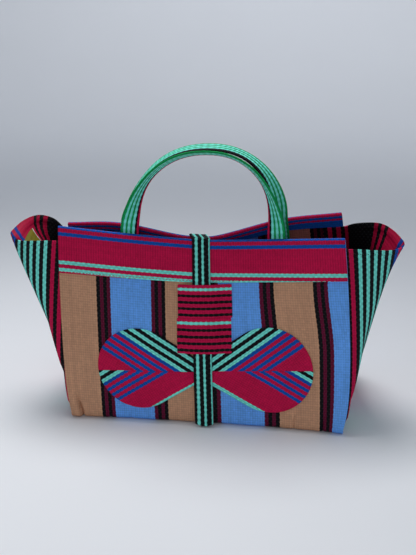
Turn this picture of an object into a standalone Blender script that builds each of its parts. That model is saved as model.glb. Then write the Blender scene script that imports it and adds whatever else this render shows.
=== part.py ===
"""Handmade tote bag sewn from striped plastic-yarn cloth.

Every piece is cut flat first and then laid on its place in the bag. A flat pattern holds the outline and
the stripes, and a placing function says where each point of the cloth lies. Metres, +Z up, the front faces
-Y, and the origin is under the middle of the bag.
"""

import math

import bmesh
import bpy
from mathutils import Vector

MM = 0.001


def millimetres(*points):
    """Turns lists of hand-set places from millimetres into metres."""
    return [tuple(value * MM for value in point) for point in points]


# Cloth and sewing
body_cloth = 1.6 * MM
gusset_cloth = 1.2 * MM
band_cloth = 1.2 * MM
applique_cloth = 1.2 * MM
webbing = 2.0 * MM
rib_height = 0.4 * MM
hem_ridge = 0.8 * MM
clearance = 0.3 * MM

# Body, one strip of cloth: front, base and rear
body_width = 326 * MM
panel_height = 210 * MM
base_depth = 166 * MM
base_centre = Vector((9.5 * MM, 2 * MM, 0))
centring = Vector((0.54 * MM, 1.7 * MM, 0))
fold_radius = 8 * MM
bulge_power = 1.3
front_skew = -11 * MM
rear_skew = -16 * MM
top_narrowing = 5 * MM
corner_reach = 36 * MM
left_corner_pull = 3.5 * MM
right_corner_pull = 7 * MM
corner_pull_back = 2 * MM
corner_power = 8


def at_panel_top(*points):
    """Hand-set places in millimetres, their heights measured from the panels' height."""
    return [(x, y, panel_height + z) for x, y, z in millimetres(*points)]


# Rims from left to right: place across the cloth, distance behind the base centre, height past the panel's
front_rim = at_panel_top(
    (-163, -46, 7), (-88, -39, -0.5), (-12, -31, -7), (12, -31, -7), (84, -38, -0.5), (163, -46, 7)
)
rear_rim = at_panel_top(
    (-163, 21, -10), (-98, 3, -0.5), (-28, -15.5, -4.2), (-12, -17.5, -5),
    (12, -17, -5), (30, -11.5, -2.6), (94, 17.5, 8), (163, 34, 13)
)

# Mesh stations: heights up a panel as shares of it, and longest steps along the cloth
panel_row_shares = (0, 0.057, 0.133, 0.229, 0.381, 0.571, 0.771, 0.895)
corner_station_shares = (0.25, 0.5)
body_step = 24 * MM
body_station = 2.4 * MM
gusset_step = 8 * MM
strap_step = 36 * MM
strap_tail_step = 22 * MM
handle_step = 16 * MM
petal_step = 24 * MM
hem_edge_step = 0.5 * MM

# Bands folded over the rims
band_leaf = 48 * MM
front_band_station = 9 * MM
rear_band_station = 7.5 * MM
rim_gap = 0.5 * MM
band_rise_left = -1.5 * MM
band_rise_right = 4.5 * MM
front_inner_leaf = (8 * MM, 8 * MM)
rear_inner_leaf = (7 * MM, 16 * MM)

# Gussets, folded outward at the middle of their hem. The hem passes the fold's tip, then the given places
gusset_drop = 10 * MM
gusset_height = panel_height - gusset_drop
gusset_overhang = 3.5 * MM
gusset_foot_inset = 1.5 * MM
gusset_foot_blend = 14.3 * MM
crease_softness = 5 * MM
hem_bow = 5 * MM
hem_depth = 6 * MM
left_hem = at_panel_top((-224, -12, -19), (-206, 34, -7), (-186, 33, -10))
left_seam_tops = (panel_height - 12 * MM, panel_height - 10 * MM)
left_seam_slant = 10 * MM
left_crease_starts = (48 * MM, 60 * MM)
left_laps = (10 * MM, 10 * MM)
right_hem = at_panel_top((223, -2, -8), (213, 14, -1), (197, 29, 3), (170, 33, 1))
right_seam_tops = (panel_height - 10 * MM, panel_height - 18 * MM)
right_seam_slant = 0
right_crease_starts = (32 * MM, 60 * MM)
right_laps = (10 * MM, 21 * MM)

# Blank patch sewn inside the left gusset, measured from the fold and down from the hem
inner_patch_from = 4.7 * MM
inner_patch_to = 38.8 * MM
inner_patch_drop = 9 * MM
inner_patch_height = 24 * MM
inner_patch_cloth = 0.6 * MM
inner_patch_step = 3 * MM

# Closure strap, over both rims and down the front
strap_width = 20 * MM
strap_middle = -0.8 * MM
strap_tip_height = 1.5 * MM
strap_tip_trim = 3 * MM
strap_tip_slope = 0.45
strap_kick = 3 * MM
strap_kick_length = 3 * fold_radius
strap_rear_length = 60 * MM
rib_edge = 0.5 * MM
rib_split = 2 * MM

# Strap loop of two strips across the closure strap
loop_left = -28 * MM
loop_right = 33.4 * MM
loop_slip = -1.3 * MM
loop_tilt = 0.045
loop_drop = 49.6 * MM
loop_upper_height = 38.5 * MM
loop_lower_height = 41.2 * MM
loop_top = panel_height - loop_drop
loop_seam = loop_top - loop_upper_height
loop_bottom = loop_seam - loop_lower_height
loop_ease = 1.5 * MM
loop_ramp = 13 * MM
loop_bow_ramp = 5 * MM

# Bow of two petals, each sewn from an upper and a lower half, with heights from a level below the loop
loop_above_bow = 80.7 * MM
bow_level = loop_bottom - loop_above_bow
left_petal = millimetres((-73, 57), (49.5, 47))
right_petal = millimetres((73.5, 63), (49.2, 49.5))
left_neck = (42.5 * MM, 75.5 * MM)
right_neck = (44.5 * MM, 80.5 * MM)
left_petal_seam = (56 * MM, 50.5 * MM)
right_petal_seam = (59 * MM, 64 * MM)
seam_inner_start = 28 * MM
seam_outer_end = 120 * MM
petal_arc_steps = 22

# Handles of twisted webbing
handle_width = 20 * MM
front_legs = (-78 * MM, 84 * MM)
rear_legs = (-84 * MM, 89 * MM)
leg_length = 42 * MM
leg_step_margin = 2 * MM
leg_step_run = 10 * MM
front_apex = Vector(at_panel_top((4, -15, 91))[0])
rear_apex = Vector(at_panel_top((5, 8, 94))[0])
arch_power = 2.2
arch_blend = 22 * MM
front_flat_from = (45, 45)
rear_flat_from = (45, 75)

# Stripes
tan_width = 44.8 * MM
sky_width = 47.5 * MM
thin_width = 3.8 * MM
cut_tan_width = 41.7 * MM
gusset_stripe = 5.1 * MM
gusset_first_stripe = 1.5 * MM
broad_crimson = 20 * MM
broad_black = 29 * MM
band_stripe = 4.1 * MM
broad_band = 27.5 * MM
rim_blue = 2 * MM
rim_crimson = 2.4 * MM
inner_blue = 16 * MM

# Linear red, green and blue of the yarns
COLOURS = {
    "crimson": (0.42, 0.012, 0.055),
    "blue": (0.015, 0.075, 0.36),
    "teal": (0.13, 0.56, 0.47),
    "black": (0.008, 0.008, 0.010),
    "tan": (0.41, 0.25, 0.135),
    "sky": (0.115, 0.27, 0.66),
    "burgundy": (0.095, 0.010, 0.032),
    "green": (0.02, 0.33, 0.13),
    "olive": (0.25, 0.25, 0.02),
}
yarn_roughness = 0.55


def smooth_value(points, column, x):
    """Reads a smooth curve through the points; column picks the value that belongs to x."""
    last = len(points) - 1
    xs = [point[0] for point in points]
    ys = [point[column] for point in points]

    def slope(k):
        before, after = max(k - 1, 0), min(k + 1, last)
        return (ys[after] - ys[before]) / (xs[after] - xs[before])

    if x < xs[0]:
        return ys[0] + (x - xs[0]) * slope(0)
    if x > xs[-1]:
        return ys[-1] + (x - xs[-1]) * slope(last)
    k = 0
    while k < last - 1 and x > xs[k + 1]:
        k += 1
    step = xs[k + 1] - xs[k]
    t = (x - xs[k]) / step
    rise = slope(k) * step * t * (1 - t) ** 2 - slope(k + 1) * step * t * t * (1 - t)
    return ys[k] * (1 + 2 * t) * (1 - t) ** 2 + ys[k + 1] * t * t * (3 - 2 * t) + rise


def smooth_step(t):
    t = min(max(t, 0.0), 1.0)
    return t * t * (3 - 2 * t)


def panel_point(u, height, rim, side, skew):
    """Outer face of the front (side 1) or rear (side -1) panel, height measured up the cloth."""
    v = height / panel_height
    climb = max(v, 0.0)
    foot = -side * base_depth / 2
    rim_depth = smooth_value(rim, 1, u)
    rim_height = smooth_value(rim, 2, u)
    x = u * (1 - top_narrowing / body_width * climb * climb) + skew * v
    y = foot + (rim_depth - foot) * climb ** bulge_power
    z = fold_radius + (rim_height - fold_radius) * v
    into_corner = max(0.0, (abs(u) - body_width / 2) / corner_reach + 1)
    tuck = into_corner**2 * (1 - climb) ** corner_power
    x += left_corner_pull * tuck if u < 0 else -right_corner_pull * tuck
    y += side * corner_pull_back * tuck
    return base_centre + Vector((x, y, z))


def front_panel(u, height):
    return panel_point(u, height, front_rim, 1, front_skew)


def rear_panel(u, height):
    return panel_point(u, height, rear_rim, -1, rear_skew)


def fold_point(edge, side, angle):
    """Rounded fold between a panel and the base, angle 0 at the panel."""
    inward = Vector((0, side, 0))
    return edge + inward * fold_radius * (1 - math.cos(angle)) - Vector((0, 0, fold_radius * math.sin(angle)))


def body_surface(u, s):
    """Outer face of the body strip: down the rear, along the base and up the front."""
    arc = fold_radius * math.pi / 2
    flat = base_depth - 2 * fold_radius
    if s < panel_height:
        return rear_panel(u, panel_height - s)
    s -= panel_height
    rear_edge = rear_panel(u, 0)
    if s < arc:
        return fold_point(rear_edge, -1, s / fold_radius)
    s -= arc
    front_edge = front_panel(u, 0)
    if s < flat:
        rear_foot = fold_point(rear_edge, -1, math.pi / 2)
        front_foot = fold_point(front_edge, 1, math.pi / 2)
        return rear_foot.lerp(front_foot, s / flat)
    s -= flat
    if s < arc:
        return fold_point(front_edge, 1, (arc - s) / fold_radius)
    return front_panel(u, s - arc)


def normal_at(surface, a, b, side=1):
    step = 0.4 * MM
    across = surface(a + step, b) - surface(a - step, b)
    along = surface(a, b + step) - surface(a, b - step)
    return across.cross(along).normalized() * side


def raised(surface, lift, side=1):
    """The same surface moved outward by a fixed lift."""

    def moved(a, b):
        return surface(a, b) + normal_at(surface, a, b, side) * lift

    return moved


def rim_turn(panel, u, side, radius, angle):
    """Point on the round turn over a rim, angle 0 at the panel's outer face."""
    outward = normal_at(panel, u, panel_height, side)
    up = (panel(u, panel_height) - panel(u, panel_height - MM)).normalized()
    middle = panel(u, panel_height) - outward * body_cloth / 2
    return middle + (outward * math.cos(angle) + up * math.sin(angle)) * radius


def stripe_edges(stripes, start):
    edges = [start]
    for _, width in stripes:
        edges.append(edges[-1] + width)
    return edges


def colour_at(stripes, start, place):
    for colour, width in stripes:
        start += width
        if place < start:
            return colour
    return stripes[-1][0]


def spaced(first, last, longest):
    """Even stations from first to last, none further apart than longest."""
    count = max(1, math.ceil(abs(last - first) / longest - 1e-6))
    return [first + (last - first) * k / count for k in range(count + 1)]


def filled(edges, longest):
    """The given stations with even ones added where a step is too long."""
    stations = [edges[0]]
    for first, last in zip(edges, edges[1:]):
        stations += spaced(first, last, longest)[1:]
    return stations


def grid_pattern(columns, rows, colour_of):
    """Flat cloth as a grid; each face takes the colour of its middle."""
    flat = bmesh.new()
    colours = flat.faces.layers.string.new("colour")
    points = [[flat.verts.new((a, b, 0)) for a in columns] for b in rows]
    for j in range(len(rows) - 1):
        for i in range(len(columns) - 1):
            corners = (points[j][i], points[j][i + 1], points[j + 1][i + 1], points[j + 1][i])
            face = flat.faces.new(corners)
            middle = face.calc_center_median()
            face[colours] = colour_of(middle.x, middle.y).encode()
    return flat


def cut(flat, place, direction, discard=False):
    """Splits the cloth along a straight line."""
    parts = flat.verts[:] + flat.edges[:] + flat.faces[:]
    bmesh.ops.bisect_plane(
        flat, geom=parts, dist=1e-7, plane_co=place, plane_no=direction, clear_outer=discard
    )


def outline_pattern(outline, cuts, colour_of):
    """Flat cloth cut to an outline, split along straight cuts and coloured by place."""
    flat = bmesh.new()
    colours = flat.faces.layers.string.new("colour")
    flat.faces.new([flat.verts.new((a, b, 0)) for a, b in outline])
    for place, direction in cuts:
        cut(flat, place, direction)
    for face in flat.faces:
        middle = face.calc_center_median()
        face[colours] = colour_of(middle.x, middle.y).encode()
    return flat


def trim(flat, place, direction):
    """Cuts away the cloth beyond a straight line."""
    cut(flat, place, direction, discard=True)


def yarn(colour):
    """Plain glossy plastic yarn in one colour."""
    name = colour + "_yarn"
    if name in bpy.data.materials:
        return bpy.data.materials[name]
    material = bpy.data.materials.new(name)
    material.use_nodes = True
    shader = material.node_tree.nodes["Principled BSDF"]
    shader.inputs["Base Color"].default_value = (*COLOURS[colour], 1)
    shader.inputs["Roughness"].default_value = yarn_roughness
    shader.inputs["Metallic"].default_value = 0
    return material


def sew(name, flat, surface, thickness, side=1, outer_ridge=None, inner_ridge=None):
    """Lays a flat pattern on its outer face and gives the cloth its thickness, with raised ridges."""
    layer = flat.faces.layers.string["colour"]
    used = sorted({face[layer].decode() for face in flat.faces})
    solid = bmesh.new()
    outer, inner = {}, {}
    for vert in flat.verts:
        a, b = vert.co.x, vert.co.y
        point = surface(a, b) + centring
        normal = normal_at(surface, a, b, side)
        outer_rise = outer_ridge(a, b) if outer_ridge else 0
        inner_rise = inner_ridge(a, b) if inner_ridge else 0
        outer[vert] = solid.verts.new(point + normal * outer_rise)
        inner[vert] = solid.verts.new(point - normal * (thickness + inner_rise))
    for face in flat.faces:
        slot = used.index(face[layer].decode())
        solid.faces.new([outer[vert] for vert in face.verts]).material_index = slot
        solid.faces.new([inner[vert] for vert in reversed(face.verts)]).material_index = slot
    for edge in flat.edges:
        if edge.is_boundary:
            first, second = edge.verts
            slot = used.index(edge.link_faces[0][layer].decode())
            wall = solid.faces.new((outer[first], outer[second], inner[second], inner[first]))
            wall.material_index = slot
    bmesh.ops.recalc_face_normals(solid, faces=solid.faces[:])
    mesh = bpy.data.meshes.new(name)
    solid.to_mesh(mesh)
    solid.free()
    flat.free()
    for colour in used:
        mesh.materials.append(yarn(colour))
    mesh.shade_smooth()
    mesh.set_sharp_from_angle(angle=math.radians(40))
    piece = bpy.data.objects.new(name, mesh)
    bpy.context.scene.collection.objects.link(piece)
    return piece


def body_stripes():
    """Tan and sky stripes with groups of four thin ones between, from the left edge."""
    to_sky = [("black", thin_width), ("burgundy", thin_width)] * 2
    to_tan = [("burgundy", thin_width), ("black", thin_width)] * 2
    stripes = [("tan", cut_tan_width)]
    for _ in range(2):
        stripes += to_sky + [("sky", sky_width)] + to_tan + [("tan", tan_width)]
    stripes += to_sky
    used = sum(width for _, width in stripes)
    return stripes + [("sky", body_width - used)]


def thinned(stations, closest):
    """Leaves out stations that follow another too closely, and keeps both ends."""
    kept = [stations[0]]
    for place in stations[1:-1]:
        if place - kept[-1] >= closest and stations[-1] - place >= closest:
            kept.append(place)
    return kept + [stations[-1]]


def panel_columns(closest):
    """Stations across a panel, shared by all cloth that lies along it."""
    stations = filled(stripe_edges(body_stripes(), -body_width / 2), body_step)
    for side in (-1, 1):
        stations += [side * (body_width / 2 - corner_reach * share) for share in corner_station_shares]
    stations += [point[0] for point in rear_rim[1:-1]]
    return thinned(sorted(stations), closest)


def panel_rows():
    """Heights of the stations up a panel, below its rim."""
    return [share * panel_height for share in panel_row_shares]


def make_body():
    stripes = body_stripes()
    start = -body_width / 2
    columns = panel_columns(body_station)
    arc = fold_radius * math.pi / 2
    base_start = panel_height + arc
    base_end = base_start + base_depth - 2 * fold_radius
    rows = [panel_height - height for height in reversed(panel_rows() + [panel_height])]
    rows += spaced(panel_height, base_start, arc / 2)[1:]
    rows += spaced(base_end, base_end + arc, arc / 2)
    rows += [base_end + arc + height for height in panel_rows()[1:] + [panel_height]]
    flat = grid_pattern(columns, rows, lambda a, b: colour_at(stripes, start, a))
    return sew("body_panel", flat, body_surface, body_cloth)


def band_surface(panel, side):
    """Face of a band that lies on its panel: up the outside, over the rim and down the inside."""
    bend = body_cloth / 2 + rim_gap

    def surface(u, b):
        if b < band_leaf:
            height = panel_height - band_leaf + b
            return panel(u, height) + normal_at(panel, u, height, side) * rim_gap
        angle = (b - band_leaf) / bend
        if angle < math.pi:
            return rim_turn(panel, u, side, bend, angle)
        height = panel_height - (b - band_leaf - bend * math.pi)
        return panel(u, height) - normal_at(panel, u, height, side) * (body_cloth + rim_gap)

    return surface


def band_stripes():
    """Colours across the band cloth, from its outer lower edge."""
    outside = [(colour, band_stripe) for colour in ("crimson", "teal", "crimson", "teal")]
    outside += [("crimson", broad_band), ("blue", band_stripe), ("crimson", band_stripe)]
    inside = [("blue", rim_blue), ("crimson", rim_crimson), ("blue", band_stripe), ("crimson", band_stripe)]
    return outside + inside + [("blue", inner_blue)]


def make_band(name, panel, side, inner_leaf, closest):
    stripes = band_stripes()
    start = -stripes[0][1]
    bend = body_cloth / 2 + rim_gap
    turned = band_leaf + bend * math.pi
    last = turned + max(inner_leaf)
    edges = [edge for edge in stripe_edges(stripes, start) if edge < band_leaf - MM]
    rows = edges + [band_leaf]
    rows += [band_leaf + bend * math.pi * k / 3 for k in range(1, 4)]
    rows += [edge for edge in stripe_edges(stripes, start) if turned + MM < edge < last - MM]
    rows += [last]
    flat = grid_pattern(panel_columns(closest), rows, lambda a, b: colour_at(stripes, start, b))
    lower_slope = (band_rise_right - band_rise_left) / body_width
    trim(flat, (0, (band_rise_right + band_rise_left) / 2, 0), (lower_slope, -1, 0))
    upper_slope = (inner_leaf[1] - inner_leaf[0]) / body_width
    trim(flat, (0, turned + (inner_leaf[0] + inner_leaf[1]) / 2, 0), (-upper_slope, 1, 0))
    return sew(name, flat, raised(band_surface(panel, side), band_cloth, side), band_cloth, side)


class Gusset:
    """Side strip sewn to both panels and the base; a is measured from the fold, b up from the base."""

    def __init__(self, side, hem, seam_tops, seam_slant, crease_starts, laps):
        self.side = side
        self.seam_tops = seam_tops
        self.seam_slant = seam_slant
        self.crease_starts = crease_starts
        self.laps = laps
        self.hem = [self.seam(1, 0), *[Vector(point) for point in hem], self.seam(1, 1)]
        steps = [(after - before).length for before, after in zip(self.hem, self.hem[1:])]
        self.front_half = steps[0]
        self.rear_half = sum(steps[1:])
        places = [sum(steps[:k]) for k in range(len(self.hem))]
        self.rear_curve = [(place, *point) for place, point in zip(places[1:], self.hem[1:])]

    def seam(self, rise, end, beyond=0.0):
        """Place on the front (end 0) or rear (end 1) panel's inner face, beyond the seam if asked."""
        panel, outward = ((front_panel, 1), (rear_panel, -1))[end]
        above_foot = smooth_step(rise * gusset_height / gusset_foot_blend)
        past_edge = (gusset_overhang + gusset_foot_inset) * above_foot - gusset_foot_inset
        u = self.side * (body_width / 2 + past_edge - beyond)
        height = rise * self.seam_tops[end]
        return panel(u, height) - normal_at(panel, u, height, outward) * (body_cloth + clearance)

    def hem_point(self, d):
        """Place on the hem: a shallow bow to the fold's tip, then the curve to the rear seam."""
        if d < self.front_half:
            share = d / self.front_half
            chord = self.hem[1] - self.hem[0]
            outward = Vector((chord.y, -chord.x, 0)).normalized() * self.side
            return self.hem[0] + chord * share + outward * hem_bow * 4 * share * (1 - share)
        return Vector([smooth_value(self.rear_curve, column, d) for column in (1, 2, 3)])

    def crease_share(self, rise, end):
        """Width of a wing as a share of its half of the hem; the crease leaves the seam above the foot."""
        start = self.crease_starts[end] / gusset_height
        return max(0.0, (rise - start) / (1 - start))

    def crease_foot(self, end):
        """Where the line of a crease in the flat cloth meets the level of the base."""
        half = (self.front_half, self.rear_half)[end]
        run = half * gusset_height / (gusset_height - self.crease_starts[end])
        return run if end else -(run + self.seam_slant)

    def folded(self, a, b):
        """Sharp-creased form: two wings parallel to the seams and a leaning middle between them."""
        rise = b / gusset_height
        d = a + self.front_half + self.seam_slant * (1 - rise)
        width = self.front_half + self.rear_half + self.seam_slant * (1 - rise)
        if d < 0:
            return self.seam(rise, 0, -d)
        if d > width:
            return self.seam(rise, 1, d - width)
        front_crease = self.front_half * self.crease_share(rise, 0)
        rear_wing = self.rear_half * self.crease_share(rise, 1)
        rear_crease = width - rear_wing
        if d <= front_crease:
            return self.seam(rise, 0) + self.hem_point(d) - self.hem[0]
        if d >= rear_crease:
            return self.seam(rise, 1) + self.hem_point(d - width + self.front_half + self.rear_half) - self.hem[-1]
        first = self.seam(rise, 0) + self.hem_point(front_crease) - self.hem[0]
        second = self.seam(rise, 1) + self.hem_point(self.front_half + self.rear_half - rear_wing) - self.hem[-1]
        point = first.lerp(second, (d - front_crease) / (rear_crease - front_crease))
        point.z -= self.foot_drop(min(d, width - d)) * max(0.0, 1 - b / fold_radius)
        return point

    def foot_drop(self, from_end):
        """How far the lower edge follows the base's round fold below the seams' lower ends."""
        bend = fold_radius - body_cloth - clearance
        if from_end >= bend:
            return bend
        return math.sqrt(bend**2 - (bend - from_end) ** 2)

    def surface(self, a, b):
        """Outer face, with its creases softened along the cloth."""
        steps = (-1, -0.5, 0, 0.5, 1)
        total = Vector((0, 0, 0))
        for step in steps:
            total += self.folded(a + step * crease_softness, b)
        return total / len(steps)


def gusset_stripes(gusset):
    """Colours across the gusset cloth, and where they start; the front seam's top lies in a black stripe."""
    lap = ("black", "crimson", "black", "crimson", "black")
    front = ("crimson",) + ("black", "teal") * 5 + ("black", "blue", "crimson", "blue")
    stripes = [(colour, gusset_stripe) for colour in lap + front + ("crimson", "blue")]
    stripes += [("crimson", broad_crimson)]
    stripes += [(colour, gusset_stripe) for colour in ("black", "crimson") * 2]
    stripes += [("black", broad_black)]
    stripes += [(colour, gusset_stripe) for colour in ("crimson", "black") * 4]
    return stripes, gusset_first_stripe - gusset.front_half - len(lap) * gusset_stripe


def gusset_columns(gusset):
    stripes, start = gusset_stripes(gusset)
    first = -(gusset.front_half + gusset.seam_slant / 2 + gusset.laps[0])
    last = gusset.rear_half + gusset.laps[1]
    edges = [edge for edge in stripe_edges(stripes, start) if first + MM < edge < last - MM]
    return filled([first] + edges + [last], gusset_step)


def make_gusset(name, gusset):
    stripes, start = gusset_stripes(gusset)
    columns = gusset_columns(gusset)
    hem_start = gusset_height - hem_depth
    rows = panel_rows()[:-1] + [hem_start, hem_start + hem_edge_step, gusset_height]
    flat = grid_pattern(columns, rows, lambda a, b: colour_at(stripes, start, a))
    for end in (0, 1):
        cut(flat, (0, gusset_height, 0), (gusset_height, gusset.crease_foot(end), 0))

    def hem(a, b):
        return hem_ridge if b > hem_start + hem_edge_step / 2 else 0

    return sew(name, flat, gusset.surface, gusset_cloth, gusset.side, inner_ridge=hem)


def make_inner_patch(gusset):
    """Blank patch on the inner face of the left gusset's rear half."""
    inner = raised(gusset.surface, -(gusset_cloth + 2 * clearance), gusset.side)
    top = gusset_height - inner_patch_drop
    columns = spaced(inner_patch_from, inner_patch_to, inner_patch_step)
    rows = spaced(top - inner_patch_height, top, inner_patch_step)
    flat = grid_pattern(columns, rows, lambda a, b: "olive")
    return sew("inner_patch", flat, inner, inner_patch_cloth, gusset.side)


def strap_stripes():
    colours = ("black", "teal", "black", "teal", "black", "teal")
    shares = (2.6, 3.7, 4.2, 2.8, 5.7, 1.0)
    return [(colour, strap_width * share / sum(shares)) for colour, share in zip(colours, shares)]


def rib_columns(edges):
    """Stripe edges with the middles of the wider stripes between them."""
    columns = [edges[0]]
    for first, last in zip(edges, edges[1:]):
        if last - first > rib_split:
            columns.append((first + last) / 2)
        columns.append(last)
    return columns


def ribs(edges):
    """Each stripe of webbing stands proud as a rib: raised in its middle, low at its edges."""

    def ridge(a, b):
        low = min(abs(a - edge) for edge in edges)
        return rib_height if low > rib_edge else 0

    return ridge


strap_lift = rim_gap + band_cloth + clearance


def strap_surface(u, b):
    """Outer face of the closure strap from its tip, up the front, over both rims and down the rear."""
    u += strap_middle
    lift = strap_lift + webbing
    radius = body_cloth / 2 + lift
    front_run = panel_height + fold_radius - strap_tip_height
    turn = radius * math.pi / 2
    span = (rear_panel(0, panel_height) - front_panel(0, panel_height)).length

    def level(panel, side):
        """Angle at which the turn over a rim runs level."""
        up = (panel(u, panel_height) - panel(u, panel_height - MM)).normalized()
        return math.atan2(up.z, normal_at(panel, u, panel_height, side).z)

    if b < front_run:
        height = b - (front_run - panel_height)
        kick = strap_kick * smooth_step(1 - b / strap_kick_length)
        return front_panel(u, height) + normal_at(front_panel, u, height, 1) * (lift + kick)
    front_turn = level(front_panel, 1)
    if b < front_run + turn:
        return rim_turn(front_panel, u, 1, radius, front_turn * (b - front_run) / turn)
    rear_turn = level(rear_panel, -1)
    if b < front_run + turn + span:
        first = rim_turn(front_panel, u, 1, radius, front_turn)
        second = rim_turn(rear_panel, u, -1, radius, rear_turn)
        return first.lerp(second, (b - front_run - turn) / span)
    b -= front_run + turn + span
    if b < turn:
        return rim_turn(rear_panel, u, -1, radius, rear_turn * (1 - b / turn))
    height = panel_height - (b - turn)
    return rear_panel(u, height) + normal_at(rear_panel, u, height, -1) * lift


def make_strap():
    stripes = strap_stripes()
    start = -strap_width / 2
    edges = stripe_edges(stripes, start)
    radius = body_cloth / 2 + strap_lift + webbing
    front_run = panel_height + fold_radius - strap_tip_height
    turn = radius * math.pi / 2
    span = (rear_panel(0, panel_height) - front_panel(0, panel_height)).length
    rows = [0, strap_kick_length / 5, strap_kick_length * 3 / 5]
    rows += spaced(strap_kick_length, front_run, strap_step)
    rows += [front_run + turn * k / 4 for k in range(1, 5)]
    rows += [front_run + turn + span / 2, front_run + turn + span]
    rows += [rows[-1] + turn * k / 4 for k in range(1, 5)]
    rows += spaced(rows[-1], rows[-1] + strap_rear_length, strap_tail_step)[1:]
    flat = grid_pattern(rib_columns(edges), rows, lambda a, b: colour_at(stripes, start, a))
    for side in (-1, 1):
        trim(flat, (side * strap_width / 2, strap_tip_trim, 0), (side * strap_tip_slope, -1, 0))
    return sew("closure_strap", flat, strap_surface, webbing, outer_ridge=ribs(edges))


def loop_surface(u, b):
    """Outer face of the loop strips: on the front at their ends, arched over the closure strap between."""
    over_strap = strap_lift + webbing + rib_height + clearance
    over_bow = clearance + applique_cloth + clearance
    height = b + loop_tilt * (u - strap_middle)
    bow_top = bow_level + right_neck[1] + loop_right * right_petal[1][1] / right_petal[0][0]
    low = clearance + (over_bow - clearance) * smooth_step((bow_top - height) / loop_bow_ramp)
    arch = smooth_step((strap_width / 2 + loop_ease + loop_ramp - abs(u - strap_middle)) / loop_ramp)
    lift = low + (over_strap - low) * arch + applique_cloth
    return front_panel(u, height) + normal_at(front_panel, u, height, 1) * lift


def loop_stripes(height):
    """Colours up a loop strip of a given height from its lower edge, widths as shares."""
    colours = ("crimson", "black") * 4 + ("crimson", "teal", "crimson")
    shares = (2.1, 3.4, 4.3, 3.2, 4.1, 3.4, 4.4, 3.2, 4.3, 3.4, 3.7)
    return [(colour, height * share / sum(shares)) for colour, share in zip(colours, shares)]


def make_loop_strip(name, bottom, top, slip):
    stripes = loop_stripes(top - bottom)
    rows = stripe_edges(stripes, bottom)
    arch = strap_width / 2 + loop_ease
    columns = [-arch - loop_ramp, -arch - loop_ramp / 2, -arch, 0, arch, arch + loop_ramp / 2, arch + loop_ramp]
    columns = [loop_left + slip] + [strap_middle + place for place in columns] + [loop_right + slip]
    flat = grid_pattern(columns, rows, lambda a, b: colour_at(stripes, bottom, b))
    return sew(name, flat, loop_surface, applique_cloth)


class Petal:
    """Round cloth drawn to a narrow neck under the strap; each of its long edges touches the round."""

    def __init__(self, side, petal, neck):
        self.side = side
        (across, height), self.half_size = petal
        self.centre = (across, bow_level + height)
        self.touches = [self.touch(bow_level + neck[1], 1), self.touch(bow_level + neck[0], -1)]

    def on_round(self, angle):
        (u, height), (half_width, half_height) = self.centre, self.half_size
        return u + half_width * math.cos(angle), height + half_height * math.sin(angle)

    def touch(self, neck_height, end):
        """Angle at which the edge from the neck touches the round, and the neck's place."""
        neck = (strap_middle + self.side * strap_width / 2, neck_height)
        across = (neck[0] - self.centre[0]) / self.half_size[0]
        up = (neck[1] - self.centre[1]) / self.half_size[1]
        turn = math.acos(1 / math.hypot(across, up))
        return math.atan2(up, across) - self.side * end * turn, neck

    def neck_end(self, angle, neck):
        """The edge carried on under the strap, nearly to its middle."""
        start = self.on_round(angle)
        middle = strap_middle + self.side * MM
        share = (middle - start[0]) / (neck[0] - start[0])
        return middle, start[1] + (neck[1] - start[1]) * share

    def outline(self):
        (first, upper_neck), (last, lower_neck) = self.touches
        sweep = -self.side * ((-self.side * (last - first)) % (2 * math.pi))
        points = [self.neck_end(first, upper_neck)]
        points += [self.on_round(first + sweep * k / petal_arc_steps) for k in range(petal_arc_steps + 1)]
        return points + [self.neck_end(last, lower_neck)]

    def inward(self, half):
        """Start of the long edge of a half, and the direction across its stripes."""
        angle, neck = self.touches[half]
        start = Vector((*self.on_round(angle), 0))
        along = (Vector((*neck, 0)) - start).normalized()
        across = Vector((-along.y, along.x, 0))
        toward = Vector((*self.centre, 0)) - start
        return start, across if across.dot(toward) > 0 else -across


def make_petal_half(name, petal, half, seam, stripes):
    """Upper (0) or lower (1) half of a petal, its stripes parallel to its long edge."""
    start, across = petal.inward(half)

    def colour_of(a, b):
        return colour_at(stripes, 0, (Vector((a, b, 0)) - start).dot(across))

    cuts = [(start + across * edge, across) for edge in stripe_edges(stripes, 0)[1:-1]]
    places = spaced(seam_inner_start, seam_outer_end, petal_step)
    cuts += [((petal.side * place, 0, 0), (1, 0, 0)) for place in places]
    cuts += [((0, place, 0), (0, 1, 0)) for place in panel_rows()[2:5]]
    flat = outline_pattern(petal.outline(), cuts, colour_of)
    inner_end = Vector((strap_middle, bow_level + seam[0], 0))
    outer_end = Vector((petal.side * seam_outer_end, bow_level + seam[1], 0))
    along = (outer_end - inner_end).normalized()
    down = Vector((along.y, -along.x, 0)) * petal.side
    if half:
        down = -down
    trim(flat, inner_end - down * clearance / 2, down)
    return sew(name, flat, raised(front_panel, clearance + applique_cloth), applique_cloth)


def striped(colours, widths):
    """Pairs of colour and width, widths given in millimetres."""
    return [(colour, width * MM) for colour, width in zip(colours, widths)]


def upper_petal_stripes():
    colours = ("black", "teal", "black", "teal", "black", "teal", "blue")
    colours += ("crimson", "blue") * 3 + ("crimson",)
    return striped(colours, (2, 4.2, 4.2, 4.2, 4, 3.9, 3.9, 3.9, 3.9, 4, 4.2, 3.5, 3.9, 90))


def lower_left_petal_stripes():
    colours = ("teal",) + ("crimson", "blue") * 4 + ("teal", "black", "teal")
    return striped(colours, (2.2, 24.5, 3.5, 3.8, 3.2, 3.3, 3.5, 3.6, 3, 3.6, 3.6, 90))


def lower_right_petal_stripes():
    colours = ("teal",) + ("crimson", "blue") * 4 + ("teal", "black", "teal", "black")
    return striped(colours, (2.5, 27.9, 3.8, 3.3, 3.8, 3.7, 3.7, 3.8, 3.3, 3.7, 3.5, 3.5, 90))


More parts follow.
